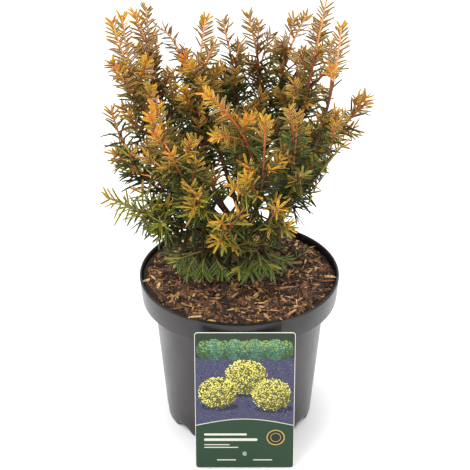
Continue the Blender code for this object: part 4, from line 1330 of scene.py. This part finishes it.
class Room:
    """Tapering segments of everything grown so far, to keep new growth clear."""

    def __init__(self):
        self.ends = np.zeros((MOST_SEGMENTS, 8))
        self.owners = np.zeros(MOST_SEGMENTS, int)
        self.count = 0

    def add_curve(self, curve, low, high, radius, owner, step):
        """Record a stretch of a curve as short segments."""
        steps = max(1, round((high - low) / step))
        marks = [low + (high - low) * i / steps for i in range(steps + 1)]
        for a, b in zip(marks, marks[1:]):
            self.ends[self.count] = (*curve.at(a)[0], *curve.at(b)[0], radius(a), radius(b))
            self.owners[self.count] = owner
            self.count += 1

    def clearance(self, start, end, radius, skip):
        """Least free distance from a segment to all that aren't skipped."""
        kept = ~np.isin(self.owners[:self.count], skip)
        rows = self.ends[:self.count][kept]
        p, d1 = np.array(start), np.array(end - start)
        q, d2 = rows[:, 0:3], rows[:, 3:6] - rows[:, 0:3]
        r = p - q
        a, e = d1 @ d1, np.maximum((d2 * d2).sum(1), 1e-9)
        b, c, f = d2 @ d1, r @ d1, (d2 * r).sum(1)
        spread_out = a * e - b * b
        s = np.where(spread_out > 1e-9, (b * f - c * e) / np.maximum(spread_out, 1e-9), 0.0)
        t = np.clip((b * np.clip(s, 0.0, 1.0) + f) / e, 0.0, 1.0)
        s = np.clip((b * t - c) / a, 0.0, 1.0)
        apart = np.linalg.norm(r + s[:, None] * d1 - t[:, None] * d2, axis=1)
        there = rows[:, 6] + (rows[:, 7] - rows[:, 6]) * t
        return float((apart - radius - there).min())


class Territory:
    """Gives each mass of foliage the space that is nearest its own leading shoot."""

    def __init__(self, leaders):
        points, names = [], []
        for name, curve in leaders.items():
            points += [tuple(p) for p in curve.points]
            names += [name] * len(curve.points)
        self.points = np.array(points)
        self.names = names

    def owner(self, point):
        """Name of the mass whose space a point lies in."""
        return self.names[int(((self.points - np.array(point)) ** 2).sum(1).argmin())]


def crown_reach(point):
    """A point's distance from the crown's axis as a share of the reach at its height."""
    reach = np.interp(point[2], CROWN_HEIGHTS, CROWN_REACHES)
    return math.hypot(point[0] - CROWN_AXIS[0], point[1] - CROWN_AXIS[1]) / reach


def in_crown(point):
    """Whether a point lies inside the crown's outline and above the soil."""
    return SOIL_LEVEL + SOIL_ROOM < point[2] < CROWN_TOP and crown_reach(point) < 1.0


def in_gap(point):
    """Whether a point lies on a line of sight along which the photograph shows sky."""
    for start, end, radius in GAPS:
        line = Vector(end) - Vector(start)
        away = point - Vector(start)
        aside = away - line * (away.dot(line) / line.length_squared)
        fray = 1.0 + GAP_FRAY * noise.noise((aside + Vector(start)) / GAP_FRAY_SIZE)
        if aside.length < radius * fray:
            return True
    return False


def kept_part(curve, least):
    """A shoot's curve up to the first gap it meets, or None if too little is left."""
    points = []
    for point in curve.points:
        if in_gap(point):
            break
        points.append(point)
    whole = Curve(points) if len(points) > 1 else None
    return whole if whole and whole.length >= least else None


# A shoot: the limb whose looks it has, its curve, the radius at its base and its tip, a
# number of its own, its order, and how many millimetres from its tip are young
Shoot = namedtuple("Shoot", "limb curve base tip tag order young")


def side_curve(parent, distance, turn, long, habit, mass, territory, room, skip):
    """Grow one side shoot step by step until its space, or its length, ends."""
    point, along, side = parent.at(distance)
    across = along.cross(side)
    outward = side * math.cos(turn) + across * math.sin(turn)
    lean = math.radians(habit.angle)
    heading = along * math.cos(lean) + outward * math.sin(lean)
    points = [point]
    while len(points) * habit.grow <= long:
        heading = (heading + Vector((0.0, 0.0, habit.rise))).normalized()
        after = points[-1] + heading * habit.grow
        if not in_crown(after + heading * habit.grow):
            break
        if habit is SIDE and territory.owner(after) != mass:
            break
        if habit is not SIDE and in_gap(after):
            break
        if room.clearance(points[-1], after, habit.radius, skip) < habit.room:
            break
        points.append(after)
    if (len(points) - 1) * habit.grow < habit.least:
        return None
    return Curve(points)


def grow_along(shoots, parent, limb, habit, rule, skip, order, territory, room):
    """Set side shoots round a parent curve by a constant turn, and add them to shoots."""
    distance, turn = habit.first, rule.uniform(0.0, 2 * math.pi)
    while distance < parent.length * habit.last:
        long = habit.extra + habit.share * (parent.length - distance)
        long = min(habit.most, long * rule.uniform(*habit.lengths))
        grown = side_curve(parent, distance, turn, long, habit, limb.name, territory, room, skip)
        if grown:
            tag = shoots[-1].tag + 1
            shoots.append(Shoot(limb, grown, habit.radius, habit.tip, tag, order, 0.0))
            room.add_curve(grown, 0.0, grown.length, lambda d: habit.radius, tag, habit.grow)
        distance += habit.step * rule.uniform(*habit.spacing)
        turn += math.radians(SIDE_TURN_DEG)


@lru_cache(maxsize=1)
def grown_plant():
    """All limbs and shoots: the source's first, then finer twigs on each of them."""
    curves = limb_curves()
    leaders, room = leading_shoots(curves)
    territory = Territory(leaders)
    shoots = []
    for tag, limb in enumerate(LIMBS):
        base = limb_radius(curves[limb.name].length, limb.bare)
        points = leaders[limb.name].points
        longer = Curve(points + [points[-1] + leaders[limb.name].heading(len(points) - 1) * TIP_GROWTH])
        shoots.append(Shoot(limb, longer, base, LIMB_TIP_RADIUS, tag, LEADING, float(limb.young)))
    for tag, limb in enumerate(LIMBS):
        grow_along(shoots, leaders[limb.name], limb, SIDE, random.Random(limb.name), [tag], SIDE_SHOOT,
                   territory, room)
    sides = [side._replace(curve=kept_part(side.curve, SIDE.least)) for side in shoots[len(LIMBS):]]
    sides = [side for side in sides if side.curve]
    shoots[len(LIMBS):] = sides
    for tag, limb in enumerate(LIMBS):
        bare = curves[limb.name].part(0.0, curves[limb.name].length * limb.bare)
        rule = random.Random(BETWEEN_SEED + tag)
        grow_along(shoots, leaders[limb.name], limb, BETWEEN, rule, [tag], TWIG, territory, room)
        grow_along(shoots, bare, limb, BETWEEN, rule, [tag, -2 - tag], TWIG, territory, room)
    place_sprays(shoots, leaders)
    for parent in sides:
        rule = random.Random(FINE_SEED + parent.tag)
        grow_along(shoots, parent.curve, parent.limb, FINE, rule, [parent.tag], TWIG, territory, room)
    for number, shoot in enumerate(shoots):
        if shoot.order in (SIDE_SHOOT, TWIG):
            rule = random.Random(YOUNG_SEED + number)
            young = shoot.limb.young * rule.uniform(*YOUNG_SHARES)
            young *= 1.0 if shoot.order == SIDE_SHOOT else TWIG_YOUNG_SHARE
            shoots[number] = shoot._replace(young=young)
    return curves, shoots


def leading_shoots(curves):
    """The curve of each limb's leading shoot, and the room with stems and limbs in it."""
    room = Room()
    leaders = {}
    for stem in STEMS:
        whole = Curve([Vector(stem.foot), Vector(stem.top)])
        taper = lambda d, s=stem, w=whole: s.foot_radius + (s.top_radius - s.foot_radius) * d / w.length
        room.add_curve(whole, 0.0, whole.length, taper, -1, whole.length)
    for tag, limb in enumerate(LIMBS):
        curve = curves[limb.name]
        bare = curve.length * limb.bare
        leader = leaders[limb.name] = curve.part(bare + GAP, curve.length)
        radius = lambda d, c=curve: limb_radius(c.length, d / c.length)
        beyond = lambda d, c=curve, b=bare: limb_radius(c.length, (b + d) / c.length)
        room.add_curve(curve, 0.0, bare, radius, -2 - tag, SIDE.grow)
        room.add_curve(leader, 0.0, leader.length, beyond, tag, SIDE.grow)
    return leaders, room


def place_sprays(shoots, leaders):
    """Add the sprays that have a set place, and the sprig on the medium."""
    limbs = {limb.name: limb for limb in LIMBS}

    def add(limb, start, bend, tip, base_radius, tip_radius, order):
        curve = Curve(quadratic(start, bend, tip, SPRAY_STEPS))
        tag = shoots[-1].tag + 1
        shoots.append(Shoot(limb, curve, base_radius, tip_radius, tag, order, float(limb.young)))

    for spray in SPRAYS:
        leader = leaders[spray.limb]
        start, along, _ = leader.at(leader.length * spray.share)
        tip = Vector(spray.tip)
        bend = start + along * (tip - start).length * SPRAY_BOW
        limb = limbs[spray.limb]._replace(warmth=spray.warmth, young=spray.young, droop=spray.droop)
        add(limb, start, bend, tip, SPRAY_BASE_RADIUS, SPRAY_TIP_RADIUS, PLACED)
    limb = limbs["skirt_right"]._replace(droop=0.0)
    add(limb, *(Vector(point) for point in SPRIG), SPRIG_RADIUS, SPRIG_RADIUS, LYING)


def make_stems(settings):
    """The standing stems with their root flare and flaking bark."""
    relief = settings.bark_relief / MM
    bark = flaking_bark("flaking_yew_bark", "#2e1f18", "#6d4532", 3.5)
    for stem in STEMS:
        foot, top = Vector(stem.foot), Vector(stem.top)
        rings = []
        count = round((top.z - foot.z) / STEM_STEP)
        for i in range(count + 1):
            share = i / count
            centre = foot.lerp(top, share)
            radius = stem.foot_radius + (stem.top_radius - stem.foot_radius) * share
            radius *= 1 - max(0.0, share - STEM_CUT) * STEM_CUT_SLOPE
            flare = ROOT_FLARE * math.exp((foot.z - centre.z) / FLARE_FADE)
            ring = []
            for k in range(STEM_SIDES):
                angle = 2 * math.pi * k / STEM_SIDES
                lobe = 1 - FLARE_LOBE_SHARE * (1 - math.cos(FLARE_LOBES * angle))
                out = Vector((math.cos(angle), math.sin(angle), 0.0))
                place = Vector((out.x * FLAKES_ROUND, out.y * FLAKES_ROUND, centre.z * FLAKES_UP + foot.x))
                flake = noise.noise(place) + FINE_FLAKES[1] * noise.noise(place * FINE_FLAKES[0])
                ring.append(centre + out * (radius * (1 + flare * lobe) + relief * flake))
            rings.append(ring)
        points, faces = stacked(rings)
        dress(add_mesh(stem.name + "_bark", points, faces, [bark]), "bark", stem.name)
    stub = Curve([Vector(point) for point in STUB])
    points, faces = tapering(stub, 0.0, stub.length, STUB_RADIUS * STUB_FOOT_SHARE, STUB_RADIUS)
    dress(add_mesh("cut_stub", points, faces, [bark]), "bark")


def tapering(curve, low, high, start_radius, end_radius):
    """A shoot's mesh between two distances, swelling a little under each needle or bud."""
    count = max(2, round((high - low) / TWIG_STEP))
    rings = []
    for i in range(count + 1):
        share = i / count
        radius = start_radius + (end_radius - start_radius) * share
        radius *= 1 + TWIG_KNOT * math.sin(i * KNOT_TURN + start_radius * KNOT_PHASE)
        rings.append(curve.ring(low + (high - low) * share, radius, TWIG_SIDES, i * TWIG_TWIST))
    return stacked(rings)


def make_boughs(settings):
    """The bare limbs from their forks to where the foliage begins."""
    curves, _ = grown_plant()
    solids = []
    for limb in LIMBS:
        curve = curves[limb.name]
        end = curve.length * limb.bare + 1.0
        count = max(4, round(end / BOUGH_STEP))
        rings = []
        for i in range(count + 1):
            d = end * i / count
            radius = limb_radius(curve.length, d / curve.length)
            radius *= 1 + FORK_SWELL * math.exp(-d / FORK_FADE)
            centre = curve.at(d)[0]
            ring = []
            for point in curve.ring(d, 1.0, BOUGH_SIDES):
                out = point - centre
                place = Vector((out.x * BOUGH_FLAKES_ROUND, out.y * BOUGH_FLAKES_ROUND,
                                d * BOUGH_FLAKES_UP + len(solids)))
                relief = settings.bark_relief / MM * BOUGH_RELIEF * noise.noise(place)
                ring.append(centre + out * (radius + relief))
            rings.append(ring)
        solids.append(stacked(rings))
    points, faces = joined(solids)
    bark = flaking_bark("young_yew_bark", "#3a251a", "#7c4b33", 2.4)
    nodes = ["bough_" + limb.name for limb in LIMBS]
    dress(add_mesh("bough_bark", points, faces, [bark]), "young_bark", *nodes)


def make_twigs():
    """The shoots' own stems: brown where old, orange where young, green when shaded."""
    _, shoots = grown_plant()
    kinds = {name: [] for name in RINDS}
    for shoot in shoots:
        whole = shoot.curve.length
        base = shoot.base * (SIDE_SLENDERNESS if shoot.order else 1.0)
        tip = shoot.tip * SIDE_SLENDERNESS
        aged = max(0.0, whole - shoot.young)
        bright_share = BRIGHT_SHARE if shoot.order in (LEADING, PLACED) else 0.0
        fresh = max(0.0, whole - shoot.young * bright_share)
        names = ("old_twigs", "green_twigs", "green_twigs")
        if shoot.limb.warmth > WARM:
            high_up = shoot.curve.points[-1].z > PEACH_HEIGHT
            names = ("old_twigs", "russet_twigs", "peach_twigs" if high_up else "amber_twigs")
        for name, low, high in zip(names, (0.0, aged, fresh), (aged, fresh, whole)):
            if high - low > TWIG_LEAST:
                low = max(0.0, low - TWIG_OVERLAP)
                start, end = (base + (tip - base) * d / whole for d in (low, high))
                kinds[name].append(tapering(shoot.curve, low, high, start, end))
    masses = ["foliage_" + limb.name for limb in LIMBS]
    for name, solids in kinds.items():
        twigs = add_mesh(name, *joined(solids), [young_rind("yew_rind_" + name, RINDS[name])])
        dress(twigs, "young_bark", *(masses if name == "old_twigs" else ()))


def rise_share(height, foot, rise):
    """How far up a rise a height lies, from 0 at its foot to 1 at its top and above."""
    return min(max((height - foot) / rise, 0.0), 1.0)


def choose_tint(shoot, mood, from_tip, reach, height, rule):
    """The tint of one needle: by its shoot's warmth, its age and how shaded it hangs."""
    high = (height - SOIL_LEVEL) / (CROWN_TOP - SOIL_LEVEL)
    shade = 1.0 - min(1.0, SHADE_BY_REACH * reach + SHADE_BY_HEIGHT * high)
    warmth = shoot.limb.warmth + mood
    age = from_tip / max(shoot.young, LEAST_YOUNG)
    crest = rise_share(height, CREST_FOOT, CREST_RISE)
    if age > 1.0:
        score = warmth * (OLD_WARMTH + OLD_CREST_WARMTH * crest) - OLD_SHADE * shade
        score += rule.gauss(0.0, OLD_SPREAD) - OLD_AGE * min(age, OLDEST)
        limits = OLD_TINTS
    elif warmth > WARM:
        aged = min(from_tip / GOLD_REACH, 1.0)
        score = warmth * (1.0 - WARM_FADE * aged) - WARM_GREENING * aged * (1.0 - crest)
        score += rule.gauss(0.0, YOUNG_SPREAD) - WARM_SHADE * shade
        low_down = height < YELLOW_TOP + rule.gauss(0.0, YELLOW_TOP_SPREAD)
        limits = LOW_TINTS if low_down else WARM_TINTS
    else:
        score = warmth * (GREEN_WARMTH - age) + rule.gauss(0.0, YOUNG_SPREAD) - GREEN_SHADE * shade
        limits = GREEN_TINTS
    name = named_over(score, limits)
    edged = name in ("sage", "bronze") and crest > rule.uniform(*PEACH_CRESTS)
    return "peach_edged" if edged else name


def marked_wood(shoots):
    """A search tree of points along all shoots, each with its shoot's tag."""
    marks = [(shoot, min(i * WOOD_STEP, shoot.curve.length))
             for shoot in shoots for i in range(int(shoot.curve.length / WOOD_STEP) + 1)]
    wood = kdtree.KDTree(len(marks))
    for shoot, mark in marks:
        wood.insert(shoot.curve.at(mark)[0], shoot.tag)
    wood.balance()
    return wood


def shoot_needles(shoot, settings, wood):
    """A shoot's needles as rows: root, heading, upper face, bend, length, width, tint."""
    rule = random.Random(NEEDLE_SEED + shoot.tag)
    curve = shoot.curve
    turn, mood = rule.uniform(0.0, 2 * math.pi), rule.gauss(0.0, MOOD_SPREAD)
    distance = SHOOT_START if shoot.order else LEADER_START
    rows = []
    while distance < curve.length:
        from_tip = curve.length - distance
        grown = min(from_tip / FULL_GROWN, 1.0)
        point, along, side = curve.at(distance)
        outward = side * math.cos(turn) + along.cross(side) * math.sin(turn)
        plane = spray_plane(point, along)
        crest = rise_share(point.z, CREST_FOOT, CREST_RISE)
        flatness = SPRAY_FLATNESS + (CREST_FLATNESS - SPRAY_FLATNESS) * crest
        outward = (outward - plane * outward.dot(plane) * flatness).normalized()
        heading = needle_heading(shoot, along, outward, grown, rule)
        twist = Vector([rule.gauss(0.0, FACE_SPREAD) for _ in range(3)])
        face = along * FACE_ALONG + plane * FACE_PLANE + twist
        face = (face - heading * face.dot(heading)).normalized()
        long = settings.needle_length / MM * needle_growth(shoot, point.z, distance, grown, rule)
        turn += math.radians(SIDE_TURN_DEG) + rule.gauss(0.0, NEEDLE_TURN_SPREAD)
        step = settings.needle_spacing / MM * (1.0 - CREST_CLOSENESS * crest)
        distance += step * (TIP_SPACING + (1.0 - TIP_SPACING) * grown) * rule.uniform(*NEEDLE_SPACINGS)
        root = point + outward * shoot.tip * ROOT_OUT
        curl = face * rule.uniform(*CURLS_OVER) + (outward - along * CURL_BACK) * rule.uniform(*CURLS_OUT)
        curl -= UP * rule.uniform(*CURLS_DOWN)
        bend = curl * long * grown * (1.0 - CREST_STRAIGHTNESS * crest)
        if needle_free(root, heading * long, bend, shoot.tag, wood):
            tint = choose_tint(shoot, mood, from_tip, crown_reach(root), root.z, rule)
            wide = settings.needle_width / MM * rule.uniform(*NEEDLE_WIDTHS)
            rows.append((root, heading, face, bend, long, wide, tint))
    return rows


def needle_heading(shoot, along, outward, grown, rule):
    """Where a needle points: it leans from the shoot's tip, and hangs where shoots droop."""
    lean = TIP_LEAN_DEG + LEAN_GAIN_DEG * grown ** LEAN_GAIN_POWER + rule.gauss(0.0, LEAN_SPREAD_DEG)
    lean = math.radians(lean)
    heading = along * math.cos(lean) + outward * math.sin(lean)
    droop = shoot.limb.droop * grown * rule.uniform(*DROOPS)
    return (heading - UP * droop).normalized()


def needle_growth(shoot, height, distance, grown, rule):
    """A needle's length as a share of a full-grown one's."""
    share = (TIP_LENGTH + (1.0 - TIP_LENGTH) * grown) * rule.uniform(*NEEDLE_LENGTHS)
    share *= 1.0 - SHORTENING * rise_share(height, SHORTENING_FOOT, SHORTENING_RISE)
    share *= min(1.0, FOOT_LENGTH + distance / FOOT_GROWTH) if shoot.order else 1.0
    return share * SPRIG_NEEDLE_SHARE if shoot.order == LYING else share


def spray_plane(point, along):
    """The side a spray's flat face is turned to: up where it lies, outward where it stands."""
    ahead = -1.0 if point.y < CROWN_AXIS[1] + FRONT_DEPTH else 1.0
    outward = Vector((FAN_SHARE * (point.x - CROWN_AXIS[0]) / FAN_DISTANCE, ahead, LOOK_UP))
    plane = outward.normalized() * abs(along.z) + Vector((0.0, 0.0, 1.0 - abs(along.z)))
    return (plane - along * plane.dot(along)).normalized()


def needle_free(root, reach, bend, tag, wood):
    """Whether a needle keeps to the crown, out of its gaps and clear of other shoots' wood."""
    tip = root + reach + bend
    if not SOIL_LEVEL + SOIL_ROOM < tip.z < CROWN_TOP or crown_reach(tip) > NEEDLE_REACH:
        return False
    if in_gap(tip) or in_gap(root + reach * 0.5 + bend * 0.25):
        return False
    for share in CLEAR_SHARES:
        _, owner, gap = wood.find(root + reach * share + bend * share ** 2)
        if gap < WOOD_ROOM and owner != tag:
            return False
    return True


def make_needles(settings):
    """All needles as joined meshes, one kind for each tint."""
    _, shoots = grown_plant()
    wood = marked_wood(shoots)
    rows = [row for shoot in shoots for row in shoot_needles(shoot, settings, wood)]
    for tint in TINTS:
        own = [row for row in rows if row[6] == tint.name]
        finishes = [leaf_wax(f"yew_needle_{tint.name}_{part}", getattr(tint, part), rough)
                    for part, rough in BLADE_FINISHES]
        for number, start in enumerate(range(0, len(own), MOST_NEEDLES)):
            solid, kinds = blades(own[start:start + MOST_NEEDLES], settings.needle_thickness / MM)
            name = f"needles_{tint.name}" + (f"_{number + 1}" if number else "")
            dress(add_mesh(name, *solid, finishes, kinds), tint.slot)


def blades(rows, thick):
    """The points and faces of some needles, and the finish of each face."""
    sides, places = len(BLADE_SECTION), len(BLADE_PLACES)
    index = [list(range(i * sides, (i + 1) * sides)) for i in range(places)]
    tip = places * sides
    quads = [quad for first, second in zip(index, index[1:]) for quad in walls(first, second)]
    point_faces = [(index[-1][i], index[-1][(i + 1) % sides], tip) for i in range(sides)]
    roots, heads, faces_up, bends = (np.array([tuple(row[i]) for row in rows]) for i in range(4))
    long, wide = (np.array([row[i] for row in rows])[:, None] for i in (4, 5))
    aside = np.cross(heads, faces_up)
    points = np.zeros((len(rows), tip + 1, 3))
    for i, (place, share) in enumerate(zip(BLADE_PLACES, BLADE_WIDTHS)):
        middle = roots + heads * (long * place) + bends * place ** 2
        for k, (across, over) in enumerate(BLADE_SECTION):
            shift = aside * (wide * across * share / 2) + faces_up * thick * over * share / 2
            points[:, i * sides + k] = middle + shift
    points[:, tip] = roots + heads * long + bends
    starts = np.arange(len(rows))[:, None] * (tip + 1)
    faces, kinds = [], []
    for face, kind in zip(quads + point_faces + [index[0][::-1]], BLADE_FACE_KINDS * places + (2,)):
        faces += (np.array(face)[None] + starts).tolist()
        kinds += [kind] * len(rows)
    return (points.reshape(-1, 3), faces), kinds


def make_buds():
    """A small scaly bud at every shoot's tip."""
    _, shoots = grown_plant()
    bud, faces = stacked([[(wide * x, wide * y, height) for x, y in HEXAGON]
                          for height, wide in BUD_RINGS])
    centres, turns, sizes = [], [], []
    for shoot in shoots:
        point, along, side = shoot.curve.at(shoot.curve.length)
        centres.append(tuple(point - along * BUD_SUNK))
        turns.append(np.array([side, along.cross(side), along]).T)
        sizes.append(BIG_BUD if shoot.order in (LEADING, SIDE_SHOOT) else SMALL_BUD)
    solid = stamped(np.array(bud), faces, centres, np.array(turns), sizes)
    dress(add_mesh("terminal_buds", *solid, [young_rind("bud_scale", "#a8682f")]), "young_bark")


def make_stage(settings):
    """A pale floor, soft studio light and a camera at the photograph's angle."""
    scene = bpy.context.scene
    size = FLOOR_REACH / MM
    corners = [(-size, -size, 0), (size, -size, 0), (size, size, 0), (-size, size, 0)]
    add_mesh("studio_floor", corners, [(0, 1, 2, 3)], [studio_floor(settings)])
    world = bpy.data.worlds.new("studio_air")
    scene.world = world
    world.use_nodes = True
    world.node_tree.nodes["Background"].inputs["Color"].default_value = (1.0, 1.0, 1.0, 1.0)
    world.node_tree.nodes["Background"].inputs["Strength"].default_value = 1.0
    scene.view_settings.view_transform = "Standard"
    for name, place, size_m, watts in LAMPS:
        lamp = bpy.data.lights.new(name, "AREA")
        lamp.shape = "SQUARE"
        lamp.size = size_m
        lamp.energy = watts
        made = bpy.data.objects.new(name, lamp)
        made.location = place
        made.rotation_euler = (Vector(LAMP_AIM) - Vector(place)).to_track_quat("-Z", "Y").to_euler()
        scene.collection.objects.link(made)
    camera = bpy.data.cameras.new("photo_camera")
    camera.sensor_width = 36.0
    camera.lens = settings.focal
    camera.clip_start = 0.05
    camera.clip_end = 20.0
    made = bpy.data.objects.new("photo_camera", camera)
    made.location = CAMERA_PLACE
    made.rotation_euler = (math.pi / 2 - settings.tilt, 0.0, 0.0)
    scene.collection.objects.link(made)
    scene.camera = made


class YEW_OT_pot(bpy.types.Operator):
    """Make the nursery pot"""
    bl_idname = "yew.pot"
    bl_label = "Nursery pot"

    def execute(self, context):
        make_pot(context.scene.yew_pot)
        return {"FINISHED"}


class YEW_OT_mix(bpy.types.Operator):
    """Make the growing medium that fills the pot"""
    bl_idname = "yew.mix"
    bl_label = "Potting mix"

    def execute(self, context):
        make_potting_mix(context.scene.yew_mulch)
        return {"FINISHED"}


class YEW_OT_mulch(bpy.types.Operator):
    """Scatter bark chips, crumbs and fibres on the medium"""
    bl_idname = "yew.mulch"
    bl_label = "Bark and fibres"

    def execute(self, context):
        make_mulch(context.scene.yew_mulch)
        return {"FINISHED"}


class YEW_OT_label(bpy.types.Operator):
    """Make the hanging label and its generic print"""
    bl_idname = "yew.label"
    bl_label = "Label"

    def execute(self, context):
        make_label(context.scene.yew_label)
        return {"FINISHED"}


class YEW_OT_strap(bpy.types.Operator):
    """Make the strap that hooks the label over the rim"""
    bl_idname = "yew.strap"
    bl_label = "Label strap"

    def execute(self, context):
        make_strap(context.scene.yew_pot)
        return {"FINISHED"}


class YEW_OT_stems(bpy.types.Operator):
    """Make the standing stems with their bark"""
    bl_idname = "yew.stems"
    bl_label = "Stems"

    def execute(self, context):
        make_stems(context.scene.yew_crown)
        return {"FINISHED"}


class YEW_OT_boughs(bpy.types.Operator):
    """Make the bare limbs with their bark"""
    bl_idname = "yew.boughs"
    bl_label = "Boughs"

    def execute(self, context):
        make_boughs(context.scene.yew_crown)
        return {"FINISHED"}


class YEW_OT_twigs(bpy.types.Operator):
    """Make the stems of all shoots"""
    bl_idname = "yew.twigs"
    bl_label = "Twigs"

    def execute(self, context):
        make_twigs()
        return {"FINISHED"}


class YEW_OT_needles(bpy.types.Operator):
    """Make all needles, tint by tint"""
    bl_idname = "yew.needles"
    bl_label = "Needles"

    def execute(self, context):
        make_needles(context.scene.yew_crown)
        return {"FINISHED"}


class YEW_OT_buds(bpy.types.Operator):
    """Make the buds at the shoots' tips"""
    bl_idname = "yew.buds"
    bl_label = "Buds"

    def execute(self, context):
        make_buds()
        return {"FINISHED"}


class YEW_OT_stage(bpy.types.Operator):
    """Set up the floor, the lights and the camera"""
    bl_idname = "yew.stage"
    bl_label = "Stage"

    def execute(self, context):
        make_stage(context.scene.yew_stage)
        return {"FINISHED"}


OPERATORS = (YEW_OT_stage, YEW_OT_pot, YEW_OT_mix, YEW_OT_mulch, YEW_OT_label, YEW_OT_strap,
             YEW_OT_stems, YEW_OT_boughs, YEW_OT_twigs, YEW_OT_needles, YEW_OT_buds)


class YEW_PT_panel(bpy.types.Panel):
    """Lists the steps that dress the yew"""
    bl_idname = "YEW_PT_panel"
    bl_label = "Yew"
    bl_space_type = "VIEW_3D"
    bl_region_type = "UI"
    bl_category = "Yew"

    def draw(self, context):
        for operator in OPERATORS:
            self.layout.operator(operator.bl_idname)
        for name, group in SETTINGS:
            box = self.layout.box()
            for key in group.__annotations__:
                box.prop(getattr(context.scene, name), key)


def register():
    """Register the settings, the operators and the panel."""
    for name, group in SETTINGS:
        bpy.utils.register_class(group)
        setattr(bpy.types.Scene, name, PointerProperty(type=group))
    for cls in (*OPERATORS, YEW_PT_panel):
        bpy.utils.register_class(cls)


def unregister():
    """Undo register."""
    for cls in reversed((*OPERATORS, YEW_PT_panel)):
        bpy.utils.unregister_class(cls)
    for name, group in reversed(SETTINGS):
        delattr(bpy.types.Scene, name)
        bpy.utils.unregister_class(group)


def main():
    """Dress the part step by step."""
    register()
    bpy.ops.yew.stage()
    bpy.ops.yew.pot()
    bpy.ops.yew.mix()
    bpy.ops.yew.mulch()
    bpy.ops.yew.label()
    bpy.ops.yew.strap()
    bpy.ops.yew.stems()
    bpy.ops.yew.boughs()
    bpy.ops.yew.twigs()
    bpy.ops.yew.needles()
    bpy.ops.yew.buds()


if __name__ == "__main__":
    main()
